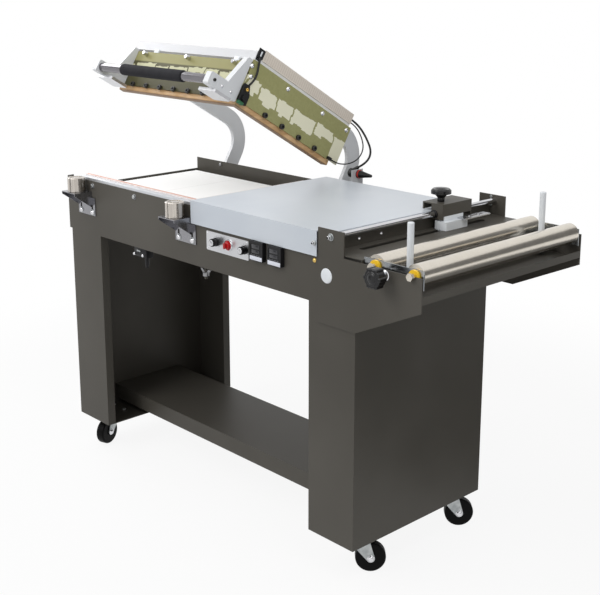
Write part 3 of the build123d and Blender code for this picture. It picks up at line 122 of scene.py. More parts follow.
class Socket:
    """A shader value that Python's operators turn into Math nodes."""

    def __init__(self, tree, link):
        self.tree = tree
        self.link = link

    def math(self, operation, first, second=0.0):
        return self.tree.add("ShaderNodeMath", {"operation": operation}, {0: first, 1: second})

    def __add__(self, other):
        return self.math("ADD", self, other)

    def __radd__(self, other):
        return self.math("ADD", other, self)

    def __sub__(self, other):
        return self.math("SUBTRACT", self, other)

    def __rsub__(self, other):
        return self.math("SUBTRACT", other, self)

    def __mul__(self, other):
        return self.math("MULTIPLY", self, other)

    def __rmul__(self, other):
        return self.math("MULTIPLY", other, self)

    def __truediv__(self, other):
        return self.math("DIVIDE", self, other)

    def __abs__(self):
        return self.math("ABSOLUTE", self)

    def sine(self):
        return self.math("SINE", self)

    def most(self, other):
        return self.math("MAXIMUM", self, other)

    def least(self, other):
        return self.math("MINIMUM", self, other)

    def ping_pong(self, span):
        return self.math("PINGPONG", self, span)


class ShaderTree:
    """The nodes of a material or a world."""

    def __init__(self, owner):
        owner.use_nodes = True
        self.nodes = owner.node_tree.nodes
        self.links = owner.node_tree.links

    def add(self, kind, settings=None, inputs=None, output=0):
        node = self.nodes.new(kind)
        for name, value in (settings or {}).items():
            setattr(node, name, value)
        for name, value in (inputs or {}).items():
            self.feed(node.inputs[name], value)
        return Socket(self, node.outputs[output])

    def feed(self, socket, value):
        if isinstance(value, Socket):
            self.links.new(value.link, socket)
        else:
            socket.default_value = value

    def backdrop_rays(self):
        """1 for the rays that should see a white backdrop, 0 for those that light the object."""
        rays = [self.add("ShaderNodeLightPath", output=f"Is {kind} Ray")
                for kind in ("Camera", "Glossy", "Transmission")]
        return rays[0].most(rays[1]).most(rays[2])


class Finish(ShaderTree):
    """One material with a Principled shader, its patterns laid in Object coordinates."""

    def __init__(self, name, colour, metallic=0.0, specular=0.5):
        self.material = bpy.data.materials.new(name)
        super().__init__(self.material)
        self.shader = self.nodes["Principled BSDF"]
        self.set("Base Color", colour)
        self.set("Metallic", metallic)
        self.set("Specular IOR Level", specular)

    def set(self, socket, value):
        self.feed(self.shader.inputs[socket], value)

    def place(self, scale=(1, 1, 1), turn=(0, 0, 0), move=(0, 0, 0)):
        point = self.add("ShaderNodeTexCoord", output="Object")
        return self.add("ShaderNodeMapping", inputs={
            "Vector": point, "Location": move, "Rotation": turn, "Scale": scale})

    def lowered_place(self):
        """Object coordinates of the raised arm, swung back to its lowered position."""
        return self.place(turn=(ARM_SWING, 0, 0), move=LOWER.to_translation())

    def axis(self, point, index):
        return self.add("ShaderNodeSeparateXYZ", inputs={0: point}, output=index)

    def noise(self, scale, detail=2.0, stretch=(1, 1, 1), point=None):
        return self.add("ShaderNodeTexNoise", inputs={
            "Vector": point or self.place(stretch), "Scale": scale, "Detail": detail})

    def weave(self, point, threads):
        """A plain weave along x and y, from 0 to 1."""
        along = (self.axis(point, 0) * threads).sine()
        across = (self.axis(point, 1) * threads).sine()
        return 0.5 + 0.25 * along + 0.25 * across

    def step(self, value, low, high):
        return self.add("ShaderNodeMapRange", {"interpolation_type": "SMOOTHSTEP"}, {
            "Value": value, "From Min": low, "From Max": high})

    def mix(self, factor, first, second):
        return self.add("ShaderNodeMix", {"data_type": "RGBA"}, {0: factor, 6: first, 7: second}, output=2)

    def bump(self, height, depth, strength=0.4):
        self.set("Normal", self.add("ShaderNodeBump", inputs={
            "Strength": strength, "Distance": depth, "Height": height}))


# Finishes of the sheet metal and the castings
def powder_coat(name, bare_from=None):
    """Satin powder coat with a fine orange peel and faint clouds, and bare steel past bare_from."""
    dark, light = srgb(75, 72, 66), srgb(85, 82, 76)
    finish = Finish(name, dark, specular=0.2)
    cloud = finish.noise(2.4, 3.0)
    peel = finish.noise(520.0, 2.0)
    paint = finish.mix(finish.step(cloud, 0.3, 0.7), dark, light)
    gloss = 0.32 + 0.14 * cloud + 0.08 * peel
    if bare_from:
        bare = finish.step(finish.axis(finish.place(), 0), bare_from - PAINT_EDGE, bare_from + PAINT_EDGE)
        paint = finish.mix(bare, paint, srgb(200, 201, 204))
        gloss = gloss - 0.16 * bare
        finish.set("Metallic", 0.95 * bare)
    finish.set("Base Color", paint)
    finish.set("Roughness", gloss)
    finish.bump(peel, 0.0004, 0.22)
    return finish.material


def deck_enamel():
    """Smooth light enamel of the loading platform, slightly uneven in its gloss."""
    finish = Finish("platform_enamel", srgb(200, 207, 215))
    cloud = finish.noise(3.0, 3.0)
    rub = finish.noise(24.0, 4.0, (1.0, 0.15, 1.0))
    enamel = finish.mix(finish.step(cloud, 0.3, 0.7), srgb(196, 203, 212), srgb(206, 212, 219))
    finish.set("Base Color", enamel)
    finish.set("Roughness", 0.24 + 0.1 * cloud + 0.08 * rub)
    finish.bump(finish.noise(300.0, 1.0), 0.0002, 0.12)
    return finish.material


def arm_enamel(name, dark, light):
    """Light enamel over the cast skin of the arms."""
    finish = Finish(name, dark)
    cloud = finish.noise(14.0, 3.0)
    skin = finish.noise(240.0, 3.0)
    finish.set("Base Color", finish.mix(cloud, dark, light))
    finish.set("Roughness", 0.34 + 0.16 * skin)
    finish.bump(skin, 0.0005, 0.25)
    return finish.material


def wire_channel_plastic():
    """White channel along the front, painted a darker grey than the foot as painted shade; a beige slotted
    cover whose slots are painted darker as painted shade; and a white foot along the side.
    """
    front_deep = 0.028
    slot_pitch = 0.004
    slot_half = 0.0011
    cover_middle = 0.014
    slot_reach = 0.012
    finish = Finish("wire_channel_plastic", srgb(226, 227, 228), specular=0.25)
    point = finish.lowered_place()
    rear = finish.axis(point, 1) - BOARD_FRONT
    side = finish.step(rear, front_deep - 2 * PAINT_EDGE, front_deep + 2 * PAINT_EDGE)
    height = finish.axis(point, 2) - ARM_TOP
    cover = side * finish.step(height, CHANNEL_FOOT - 3 * PAINT_EDGE, CHANNEL_FOOT)
    slots = finish.step(finish.axis(point, 1).ping_pong(slot_pitch), 0.0, slot_half)
    middle = finish.step(abs(height - CHANNEL_FOOT - cover_middle), slot_reach, 0.95 * slot_reach)
    shaded_slots = cover * (1 - slots) * middle
    # The slots are painted a darker beige: painted shade in their recess.
    beige = finish.mix(shaded_slots, srgb(230, 220, 207), srgb(204, 192, 179))
    # The front channel is painted a darker grey than the side's white foot: painted shade.
    white = finish.mix(side, srgb(208, 209, 212), srgb(240, 240, 239))
    finish.set("Base Color", finish.mix(cover, white, beige))
    finish.set("Roughness", 0.42 + 0.12 * finish.noise(40.0))
    finish.bump(1 - shaded_slots, 0.0006, 0.5)
    return finish.material


def milled_aluminium():
    """Fine mill marks along the lower jaws."""
    finish = Finish("jaw_aluminium", srgb(208, 210, 214), metallic=0.85)
    marks = finish.noise(60.0, 3.0, (1.0, 1.0, 14.0))
    finish.set("Base Color", finish.mix(marks, srgb(200, 203, 208), srgb(222, 224, 228)))
    finish.set("Roughness", 0.34 + 0.16 * marks)
    finish.bump(marks, 0.0002, 0.2)
    return finish.material


def turned_steel(name, dark, light, rough, lines, share=0.35):
    """Bright steel with lines left by turning or drawing; on the magnets the lines are strong painted
    reflection streaks. lines stretches them, share is their part.
    """
    finish = Finish(name, dark, metallic=1.0)
    line = finish.noise(20.0, 4.0, lines)
    stain = finish.noise(16.0, 3.0)
    finish.set("Base Color", finish.mix(share * line + (1.0 - share) * stain, dark, light))
    finish.set("Roughness", rough + 0.06 * line + 0.06 * stain)
    return finish.material


def chrome_plate():
    """Polished plate with faint finger smears."""
    finish = Finish("chrome", srgb(214, 214, 217), metallic=1.0)
    smear = finish.step(finish.noise(9.0, 2.0), 0.45, 0.8)
    finish.set("Base Color", finish.mix(smear, srgb(214, 214, 217), srgb(200, 200, 203)))
    finish.set("Roughness", 0.05 + 0.05 * smear)
    return finish.material


def zinc_plate(name, dark, light):
    """Zinc plate, cloudy and a little dull."""
    finish = Finish(name, dark, metallic=0.95)
    cloud = finish.noise(70.0, 4.0)
    finish.set("Base Color", finish.mix(finish.step(cloud, 0.3, 0.7), dark, light))
    finish.set("Roughness", 0.26 + 0.22 * cloud)
    finish.bump(cloud, 0.0002, 0.15)
    return finish.material


# Finishes of plastics, rubber, tape and belt
def moulded(name, colour, shade, rough=0.4, grain=900.0, depth=0.0003, sheen=0.5):
    """Moulded plastic or rubber with a fine grain and a slightly uneven colour."""
    finish = Finish(name, colour, specular=sheen)
    cloud = finish.noise(35.0, 3.0)
    spark = finish.noise(grain, 2.0)
    finish.set("Base Color", finish.mix(cloud, colour, shade))
    finish.set("Roughness", rough + 0.16 * spark)
    finish.bump(spark, depth, 0.3)
    return finish.material


def belt_fabric():
    """White coated belt: a fine woven face and one joint across it."""
    joint_x = -0.43
    joint_half = 0.0006
    finish = Finish("belt_fabric", srgb(236, 236, 233))
    point = finish.place()
    weave = finish.weave(point, 4200.0)
    joint = 1 - finish.step(abs(finish.axis(point, 0) - joint_x), joint_half, 2 * joint_half)
    cloud = finish.noise(5.0, 3.0)
    face = finish.mix(cloud, srgb(247, 247, 246), srgb(253, 253, 252))
    finish.set("Base Color", finish.mix(0.35 * joint, face, srgb(150, 148, 142)))
    finish.set("Roughness", 0.55 + 0.12 * weave)
    finish.bump(weave - joint, 0.0002, 0.3)
    return finish.material


def seal_pad_silicone():
    """Orange silicone strip under a paler glass cloth."""
    low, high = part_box("jaw_pads")
    finish = Finish("seal_pad_silicone", srgb(222, 150, 122))
    point = finish.place()
    cloth = finish.noise(700.0, 2.0)
    worn = finish.noise(30.0, 4.0)
    from_front = abs(finish.axis(point, 1) - (low.y + PAD_HALF))
    from_side = abs(finish.axis(point, 0) - (high.x - PAD_HALF))
    line = 1 - finish.step(from_front.least(from_side) + 0.001 * worn, 0.0026, 0.0034)
    silicone = finish.mix(finish.step(worn, 0.35, 0.7), srgb(206, 128, 102), srgb(224, 160, 136))
    finish.set("Base Color", finish.mix(line, srgb(226, 216, 212), silicone))
    finish.set("Roughness", 0.5 + 0.2 * cloth)
    finish.bump(cloth, 0.0003, 0.3)
    return finish.material


def seal_bar_tape():
    """Brown coated glass tape over the seal bars, scorched a little along the wire."""
    scorched_to = 0.8433
    clean_from = 0.8475
    finish = Finish("seal_bar_tape", srgb(192, 148, 104))
    point = finish.lowered_place()
    weave = finish.weave(point, 5200.0)
    streak = finish.noise(16.0, 4.0, point=finish.place((1.0, 1.0, 5.0), (ARM_SWING, 0, 0)))
    scorch = 1 - finish.step(finish.axis(point, 2), scorched_to, clean_from)
    tape = finish.mix(finish.step(streak, 0.3, 0.7), srgb(192, 150, 102), srgb(224, 186, 138))
    finish.set("Base Color", finish.mix(0.75 * scorch, tape, srgb(84, 58, 40)))
    finish.set("Roughness", 0.36 + 0.2 * weave)
    finish.bump(weave, 0.0002, 0.3)
    return finish.material


def board_laminate():
    """Olive laminate with pale torn patches of its cover sheet in a band along the middle; the side board is
    painted lighter and the front board darker as painted light and shade, the front darker still below two
    thirds of its height.
    """
    sheet = 0.0042
    tail_y = 0.118
    finish = Finish("board_laminate", srgb(138, 132, 78), specular=0.2)
    point = finish.lowered_place()
    rear = finish.axis(point, 1)
    along = (finish.axis(point, 0) + rear) * 14.0
    height = (finish.axis(point, 2) - BOARD_LOW) / BOARD_TALL
    front = 1 - finish.step(rear, BOARD_FRONT + sheet, BOARD_FRONT + sheet + 2 * PAINT_EDGE)
    tear = finish.noise(70.0, 4.0, point=point)
    wander = along + 1.1 * finish.noise(7.0, 1.0, point=point) + 0.22 * tear

    def strips(scale, feature, output):
        return finish.add("ShaderNodeTexVoronoi", {"voronoi_dimensions": "1D", "feature": feature}, {
            "W": wander, "Scale": scale, "Randomness": 1.0}, output=output)

    patch_drop = finish.axis(strips(1.0, "F1", "Color"), 0)
    tooth = finish.axis(strips(3.6, "F1", "Color"), 1)
    border = strips(1.0, "DISTANCE_TO_EDGE", "Distance")
    tail = finish.step(rear, tail_y, tail_y + 0.004)
    low_edge = finish.step(height - 0.06 * tear - 0.26 * patch_drop - 0.14 * tooth + 0.5 * tail, 0.13, 0.14)
    high_edge = 1 - finish.step(height + 0.07 * tear - 0.1 * patch_drop + 0.05 * tooth, 0.63, 0.64)
    split = finish.step(border, 0.035, 0.045).most(tail)
    patch = low_edge * high_edge * split
    grain = finish.noise(180.0, 3.0, point=point)
    # Painted light and shade: the side board's face and patches are painted lighter and the front board's
    # darker, as light falls on them; the front face is painted darker again below two thirds of its height
    # as painted shade.
    side_face_painted_light = finish.mix(grain, srgb(152, 151, 100), srgb(174, 172, 122))
    front_face_painted_shade = finish.mix(finish.step(height, 0.66, 0.7), srgb(78, 75, 47), srgb(146, 142, 96))
    plain = finish.mix(front, side_face_painted_light, front_face_painted_shade)
    cover = finish.mix(front, srgb(246, 243, 216), srgb(194, 193, 161))
    finish.set("Base Color", finish.mix(patch, plain, cover))
    finish.set("Roughness", 0.44 + 0.16 * patch + 0.08 * grain)
    finish.bump(patch, 0.0003, 0.4)
    return finish.material


def grip_foam():
    """Closed cell foam: a pitted black skin."""
    finish = Finish("grip_foam", srgb(34, 34, 37), specular=0.2)
    cells = finish.noise(900.0, 4.0)
    worn = finish.noise(30.0, 3.0)
    finish.set("Base Color", finish.mix(worn, srgb(30, 30, 33), srgb(46, 46, 50)))
    finish.set("Roughness", 0.78 + 0.18 * cells)
    finish.bump(cells, 0.0009, 0.6)
    return finish.material


def transformer_iron():
    """Laminated iron core with a copper coloured winding each side."""
    core_half = 0.0302
    finish = Finish("transformer_iron", srgb(70, 70, 72), metallic=0.6)
    point = finish.place()
    from_middle = abs(finish.axis(point, 0) - middle_of("transformer").x)
    outer = finish.step(from_middle, core_half, core_half + 2 * PAINT_EDGE)
    sheets = 0.5 + 0.5 * (finish.axis(point, 1) * 9000.0).sine()
    core = finish.mix(sheets, srgb(52, 52, 55), srgb(92, 92, 96))
    finish.set("Base Color", finish.mix(outer, core, srgb(150, 86, 48)))
    finish.set("Roughness", 0.4 + 0.2 * sheets)
    finish.bump(sheets, 0.0002, 0.3)
    return finish.material


def socket_shell():
    """Black connector on a light enamelled plate."""
    plate_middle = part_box("lead_socket")[0].x + SOCKET_PLATE_IN
    plate_half = 0.0015
    finish = Finish("socket_shell", srgb(18, 18, 19), specular=0.35)
    from_plate = abs(finish.axis(finish.place(), 0) - plate_middle)
    plate = 1 - finish.step(from_plate, plate_half, plate_half + PAINT_EDGE / 2)
    grain = finish.noise(600.0, 2.0)
    shell = finish.mix(grain, srgb(16, 16, 17), srgb(30, 30, 32))
    finish.set("Base Color", finish.mix(plate, shell, srgb(206, 208, 211)))
    finish.set("Roughness", 0.34 + 0.14 * grain)
    finish.bump(grain, 0.0003, 0.3)
    return finish.material


GREY_COAT = powder_coat("body_powder_coat")
CARRIAGE_COAT = powder_coat("carriage_powder_coat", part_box("carriage_channel")[1].x - SLOTTED_BAR_WIDE)
ARM_GREY = arm_enamel("arm_enamel", srgb(208, 210, 213), srgb(222, 224, 227))
BRACKET_WHITE = arm_enamel("bracket_enamel", srgb(214, 216, 219), srgb(228, 230, 232))
ROLLER_STEEL = turned_steel("roller_steel", srgb(206, 199, 187), srgb(226, 220, 209), 0.17,
                            (1.0, 10.0, 1.0))
# The magnets' steel carries high-contrast vertical streaks: painted reflections.
MAGNET_STEEL_PAINTED_STREAKS = turned_steel("magnet_steel_painted_reflections", srgb(92, 84, 77), srgb(250, 243, 234), 0.2, (9.0, 9.0, 0.3),
                            share=0.9)
PLATE_STEEL = turned_steel("plate_steel", srgb(196, 197, 200), srgb(222, 223, 226), 0.26, (1.0, 30.0, 30.0))
STRIP_STEEL = turned_steel("strip_steel", srgb(148, 152, 155), srgb(186, 190, 193), 0.16, (30.0, 1.0, 30.0))
BRACKET_STEEL = turned_steel("bracket_steel", srgb(132, 132, 136), srgb(164, 164, 168), 0.2,
                             (20.0, 4.0, 4.0))
HANDLE_STEEL = turned_steel("handle_steel", srgb(110, 108, 112), srgb(138, 136, 140), 0.1,
                            (1.0, 30.0, 30.0))
CHROME = chrome_plate()
ZINC = zinc_plate("caster_zinc", srgb(152, 156, 157), srgb(184, 187, 187))
SPRING_STEEL = zinc_plate("spring_steel", srgb(120, 120, 122), srgb(160, 160, 162))
BLACK_PLASTIC = moulded("black_plastic", srgb(20, 20, 21), srgb(30, 30, 32), 0.36, sheen=0.25)
KNOB_PLASTIC = moulded("knob_plastic", srgb(10, 10, 12), srgb(18, 18, 20), 0.14, 500.0, 0.0001, 0.4)
RED_PLASTIC = moulded("switch_red", srgb(188, 18, 24), srgb(160, 12, 18), 0.22, 400.0, 0.0001)
YELLOW_NYLON = moulded("bush_yellow", srgb(252, 208, 30), srgb(242, 192, 18), 0.3, 300.0)
WHITE_NYLON = moulded("white_nylon", srgb(236, 239, 242), srgb(222, 227, 232), 0.34, 260.0)
TYRE = moulded("tyre_rubber", srgb(5, 5, 5), srgb(9, 9, 9), 0.4, 420.0, 0.0004, 0.1)
LEAD_RUBBER = moulded("lead_rubber", srgb(18, 18, 19), srgb(28, 28, 29), 0.42, 800.0, sheen=0.3)
MOTOR_ENAMEL = moulded("motor_enamel", srgb(56, 58, 62), srgb(70, 72, 76), 0.34, 300.0)
BRASS = turned_steel("brass", srgb(196, 160, 84), srgb(224, 196, 124), 0.2, (30.0, 30.0, 30.0))
DARK_SCREW = moulded("dark_screw_steel", srgb(34, 34, 32), srgb(52, 52, 50), 0.3, 700.0, sheen=0.35)
DISPLAY_GLASS = moulded("display_glass", srgb(40, 40, 44), srgb(50, 50, 55), 0.12, 200.0, 0.00005)
BLANK_STRIP = moulded("blank_strip", srgb(226, 229, 238), srgb(214, 217, 228), 0.4, 500.0, 0.0001)
MARK_PAINT = moulded("dial_mark_paint", srgb(60, 60, 64), srgb(74, 74, 78), 0.5, 700.0, 0.0001)
RING_RED = moulded("plug_ring_red", srgb(198, 40, 30), srgb(176, 30, 24), 0.34, 500.0)
CLIP_GREEN = moulded("tension_clip_green", srgb(34, 92, 58), srgb(44, 110, 70), 0.4, 500.0)

FINISHES = [
    (GREY_COAT, ["chassis", "rear_guard", "left_leg", "right_cabinet", "shelf", "unwinder_plate_front",
                 "unwinder_plate_rear", "film_tray"]),
    (CARRIAGE_COAT, ["carriage_channel"]),
    (deck_enamel(), ["platform"]),
    (ARM_GREY, ["hinge_arms"]),
    (BRACKET_WHITE, ["handle_brackets"]),
    (wire_channel_plastic(), ["wire_channels"]),
    (milled_aluminium(), ["lower_jaws"]),
    (ROLLER_STEEL, ["conveyor_drive_roller", "conveyor_idle_roller", "unwind_roller_inner",
                    "unwind_roller_outer"]),
    (MAGNET_STEEL_PAINTED_STREAKS, ["electromagnets"]),
    (PLATE_STEEL, ["control_plate", "hinge_bearings", "hinge_shaft", "armature_plates", "conveyor_bed"]),
    (STRIP_STEEL, ["roller_strips"]),
    (BRACKET_STEEL, ["magnet_brackets"]),
    (SPRING_STEEL, ["return_springs", "wing_nut"]),
    (CHROME, ["cross_rods"]),
    (HANDLE_STEEL, ["handle_tube"]),
    (ZINC, ["caster_plates", *[f"caster_fork_{corner}" for corner in CASTERS]]),
    (belt_fabric(), ["conveyor_belt"]),
    (seal_pad_silicone(), ["jaw_pads"]),
    (seal_bar_tape(), ["seal_bars"]),
    (board_laminate(), ["boards"]),
    (BLACK_PLASTIC, ["temperature_controllers", "corner_tensioner"]),
    (socket_shell(), ["lead_socket"]),
    (KNOB_PLASTIC, ["timer_knob_left", "timer_knob_right", "carriage_knob", "clamp_knob"]),
    (RED_PLASTIC, ["power_switch"]),
    (YELLOW_NYLON, ["roller_bushes"]),
    (WHITE_NYLON, ["carriage_block", "film_guide_front", "film_guide_rear"]),
    (TYRE, [f"caster_wheel_{corner}" for corner in CASTERS]),
    (LEAD_RUBBER, ["heater_lead", "board_lead"]),
    (grip_foam(), ["handle_grip"]),
    (MOTOR_ENAMEL, ["conveyor_motor"]),
    (transformer_iron(), ["transformer"]),
]
for material, nodes in FINISHES:
    for node in nodes:
        for slot in frame["nodes"][node].material_slots:
            slot.material = material


# Mesh tools
def aim(place, direction):
    """A matrix that stands a piece made along +Z at place, along direction."""
    turn = Vector(direction).to_track_quat("Z", "Y").to_matrix().to_4x4()
    return Matrix.Translation(Vector(place)) @ turn


def add_turned(bm, profile, matrix, steps=20):
    """A turned form: profile is (radius, height) from the top's middle to the foot's."""
    old = set(bm.verts)
    verts = [bm.verts.new((radius, 0, height)) for radius, height in profile]
    edges = [bm.edges.new(pair) for pair in zip(verts, verts[1:])]
    bmesh.ops.spin(bm, geom=verts + edges, cent=(0, 0, 0), axis=(0, 0, 1), dvec=(0, 0, 0),
                   angle=2 * pi, steps=steps, use_merge=True)
    bmesh.ops.remove_doubles(bm, verts=[v for v in bm.verts if v not in old], dist=1e-6)
    bmesh.ops.transform(bm, matrix=matrix, verts=[v for v in bm.verts if v not in old])


def add_slab(bm, low, high, edge, matrix=None):
    """A plate or block between two corners, with rounded edges."""
    low, high = Vector(low), Vector(high)
    size = Matrix.Diagonal((*(high - low), 1.0))
    made = bmesh.ops.create_cube(bm, size=1.0, matrix=Matrix.Translation((low + high) / 2) @ size)
    edges = list({e for v in made["verts"] for e in v.link_edges})
    rounded = bmesh.ops.bevel(bm, geom=edges, offset=edge, offset_type="OFFSET", segments=2, profile=0.5,
                              affect="EDGES", material=-1)
    if matrix:
        verts = {v for f in rounded["faces"] for v in f.verts} | {v for v in made["verts"] if v.is_valid}
        bmesh.ops.transform(bm, matrix=matrix, verts=list(verts))


def make_piece(name, bm, material, body, matrix=None, sharp=35.0):
    """Close a bmesh into a piece that rides on a body."""
    if matrix:
        bmesh.ops.transform(bm, matrix=matrix, verts=bm.verts)
    bmesh.ops.recalc_face_normals(bm, faces=bm.faces)
    mesh = bpy.data.meshes.new(name)
    bm.to_mesh(mesh)
    bm.free()
    mesh.materials.append(material)
    mesh.shade_smooth()
    mesh.set_sharp_from_angle(angle=radians(sharp))
    piece = bpy.data.objects.new(name, mesh)
    scene.collection.objects.link(piece)
    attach(piece, body)
    return piece


def scaled(radius, shape):
    """A profile given in shares of its radius."""
    return [(radius * out, radius * up) for out, up in shape]


def dome_head(radius):
    return scaled(radius, [(0, 0.62), (0.38, 0.58), (0.72, 0.42), (0.94, 0.18), (1, 0), (0, 0)])


def socket_head(radius):
    return scaled(radius, [(0, 0.4), (0.5, 0.4), (0.5, 0.95), (0.86, 0.95), (1, 0.8), (1, 0), (0, 0)])


def hex_head(radius):
    return scaled(radius, [(0, 0.62), (0.84, 0.62), (1, 0.5), (1, 0), (0, 0)])


def washer(radius):
    return scaled(radius, [(0, 0.14), (0.94, 0.14), (1, 0.06), (1, 0), (0, 0)])


def stand_off(radius, tall):
    return [(0, tall), (0.75 * radius, tall), (radius, tall - 0.3 * radius), (radius, 0), (0, 0)]


def fasteners(name, places, direction, profile, material, body, matrix=None, steps=16):
    """A row of equal fasteners standing on a face."""
    bm = bmesh.new()
    for place in places:
        add_turned(bm, profile, aim(place, direction), steps)
    make_piece(name, bm, material, body, matrix)


def on_arm(name, places, direction, profile, material, steps=16):
    """Fasteners of the sealing arm, laid out on the lowered arm."""
    fasteners(name, places, direction, profile, material, "seal_arm", RAISE, steps)


def on_table(name, places, direction, profile, material, steps=16):
    """Fasteners of the table."""
    fasteners(name, places, direction, profile, material, "table", None, steps)


def slabs(name, corners, edge, material, body, matrix=None):
    """A piece of one or more slabs, each given by two corners."""
    bm = bmesh.new()
    for low, high in corners:
        add_slab(bm, low, high, edge)
    make_piece(name, bm, material, body, matrix)


def slab_ring(name, low, high, edge, middle, turns, material, body):
    """A piece of equal slabs turned about y, round a middle."""
    bm = bmesh.new()
    for turn in turns:
        add_slab(bm, low, high, edge, Matrix.Translation(middle) @ Matrix.Rotation(turn, 4, "Y"))
    make_piece(name, bm, material, body)


# Boards of the sealing arm: stand-offs, domed screws and socket screws
STANDOFF_XS = (-0.55, -0.352, -0.152)
STANDOFF_Z = 0.958
FRONT_SCREW_XS = [-0.555 + 0.0645 * i for i in range(7)]
FRONT_SCREW_Z = 0.8625
SIDE_DOMES_YZ = ((-0.255, 0.957), (-0.245, 0.931), (-0.111, 0.962), (0.04, 0.962), (0.15, 0.962))
SIDE_SCREW_YS = (-0.153, -0.083, -0.012, 0.058)
SIDE_SCREW_Z = 0.864
on_arm("front_board_standoffs", [(x, BOARD_FRONT, STANDOFF_Z) for x in STANDOFF_XS], FORWARD,
       stand_off(0.0062, 0.016), CHROME)
on_arm("front_board_screws", [(x, BOARD_FRONT, FRONT_SCREW_Z) for x in FRONT_SCREW_XS], FORWARD,
       socket_head(0.0075), DARK_SCREW)
on_arm("side_board_domes", [(BOARD_SIDE, y, z) for y, z in SIDE_DOMES_YZ], RIGHTWARD,
       dome_head(0.007), CHROME)
on_arm("side_board_screws", [(BOARD_SIDE, y, SIDE_SCREW_Z) for y in SIDE_SCREW_YS], RIGHTWARD,
       socket_head(0.0078), DARK_SCREW)

# Handle brackets: the handle's axis, and the small screws on each outer face
HANDLE_YZ = (-0.35, 0.869)
BRACKET_SCREWS_YZ = ((-0.319, 0.866), (-0.286, 0.866))


def handle_bracket_fittings():
    """The handle's end plug and its screw, and two small screws, on each bracket's outer face."""
    low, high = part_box("handle_brackets")
    plug = [(0.0, 0.0035), (0.0118, 0.0035), (0.0128, 0.0031), (0.0104, 0.003), (0.0104, 0.0), (0, 0)]
    plug_in = 0.003
    screw_out = 0.0005
    for side, face, way in (("left", low.x, -1), ("right", high.x, 1)):
        outward = (way, 0, 0)
        on_arm(f"handle_bracket_screws_{side}", [(face, y, z) for y, z in BRACKET_SCREWS_YZ], outward,
               dome_head(0.0045), CHROME)
        on_arm(f"handle_end_plug_{side}", [(face - way * plug_in, *HANDLE_YZ)], outward,
               plug, BRACKET_WHITE, 32)
        on_arm(f"handle_end_screw_{side}", [(face + way * screw_out, *HANDLE_YZ)], outward,
               socket_head(0.0042), DARK_SCREW)


handle_bracket_fittings()

# Corner of the arm: the tensioner's wire screw and clip, the channel's end cap with its cable slot
TENSIONER_SCREW = (-0.082, -0.249, 0.892)
TENSIONER_CLIP = ((-0.0905, -0.2605, 0.8495), (-0.08, -0.241, 0.858))
CHANNEL_CAP = ((-0.0912, -0.2562, 0.985), (-0.0878, -0.2335, 1.0105))
CHANNEL_CAP_SLOT = ((-0.0879, -0.2475, 0.990), (-0.0871, -0.2425, 1.004))
on_arm("tensioner_screw", [TENSIONER_SCREW], RIGHTWARD, socket_head(0.005), BRASS)
slabs("tensioner_clip", [TENSIONER_CLIP], 0.0015, CLIP_GREEN, "seal_arm", RAISE)
slabs("channel_end_cap", [CHANNEL_CAP], 0.0012, BLACK_PLASTIC, "seal_arm", RAISE)
slabs("channel_cap_slot", [CHANNEL_CAP_SLOT], 0.0003, WHITE_NYLON, "seal_arm", RAISE)

# Clips that hold the front channel on the front board
CLIP_XS = (-0.512, -0.155)
CLIP_HALF = 0.01
CLIP_YS = (BOARD_FRONT - 0.0025, BOARD_FRONT + 0.0042)
CLIP_ZS = (0.966, 0.9775)
slabs("channel_clips", [((x - CLIP_HALF, CLIP_YS[0], CLIP_ZS[0]), (x + CLIP_HALF, CLIP_YS[1], CLIP_ZS[1]))
                        for x in CLIP_XS], 0.001, WHITE_NYLON, "seal_arm", RAISE)

# Table: its sheet, and the faces that carry its fasteners
SHEET = 0.003
WALL_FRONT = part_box("chassis")[0].y
PLATE_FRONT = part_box("unwinder_plate_front")[0].y
PLATE_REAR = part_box("unwinder_plate_rear")[1].y
APRON_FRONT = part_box("platform")[0].y
UPSTAND_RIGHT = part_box("platform")[1].x
GUARD_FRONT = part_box("rear_guard")[0].y

# Magnet brackets: the height of their screws, a foot's width and its slots from its ends
BRACKET_SCREW_Z = 0.742
BRACKET_FOOT = 0.085
SLOT_IN = 0.014

# Places of the table's bolts and screws
WALL_BOLTS = [(-0.552, WALL_FRONT, 0.819), (-0.346, WALL_FRONT, 0.818)]
TOWER_BOLT_X = 0.416
TOWER_BOLT_Z = 0.840
TOWER_PLUG = (0.403, PLATE_FRONT, 0.748)
PLUG_CROWN = [(0, 0.0026), (0.0135, 0.0024), (0.0165, 0.0015), (0.0176, 0), (0, 0)]
APRON_BOLT = (0.3665, APRON_FRONT, 0.819)
REAR_PLATE_BOLTS = [(0.413, PLATE_REAR - SHEET, z) for z in (0.852, 0.83)]
UPSTAND_SCREWS = [(UPSTAND_RIGHT, y, 0.819) for y in (-0.18, -0.106, 0.13)]
GUARD_BOLT = (-0.563, GUARD_FRONT, 0.823)
BRASS_SCREW = (0.361, WALL_FRONT, 0.776)


def bracket_screws():
    """Two domed screws with washers through the slots of each magnet bracket."""
    low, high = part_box("magnet_brackets")
    washer_tall = 0.0013
    xs = (low.x + SLOT_IN, low.x + BRACKET_FOOT - SLOT_IN, high.x - BRACKET_FOOT + SLOT_IN, high.x - SLOT_IN)
    face = WALL_FRONT - SHEET
    on_table("magnet_bracket_washers", [(x, face, BRACKET_SCREW_Z) for x in xs], FORWARD,
             washer(0.0095), ZINC)
    on_table("magnet_bracket_screws", [(x, face - washer_tall, BRACKET_SCREW_Z) for x in xs], FORWARD,
             dome_head(0.0072), CHROME)


def wall_bolts():
    """Hexagon bolts on washers along the front wall."""
    washer_tall = 0.0014
    on_table("front_wall_washers", WALL_BOLTS, FORWARD, washer(0.0078), SPRING_STEEL)
    on_table("front_wall_bolts", [(x, y - washer_tall, z) for x, y, z in WALL_BOLTS], FORWARD,
             hex_head(0.006), ZINC, HEX)


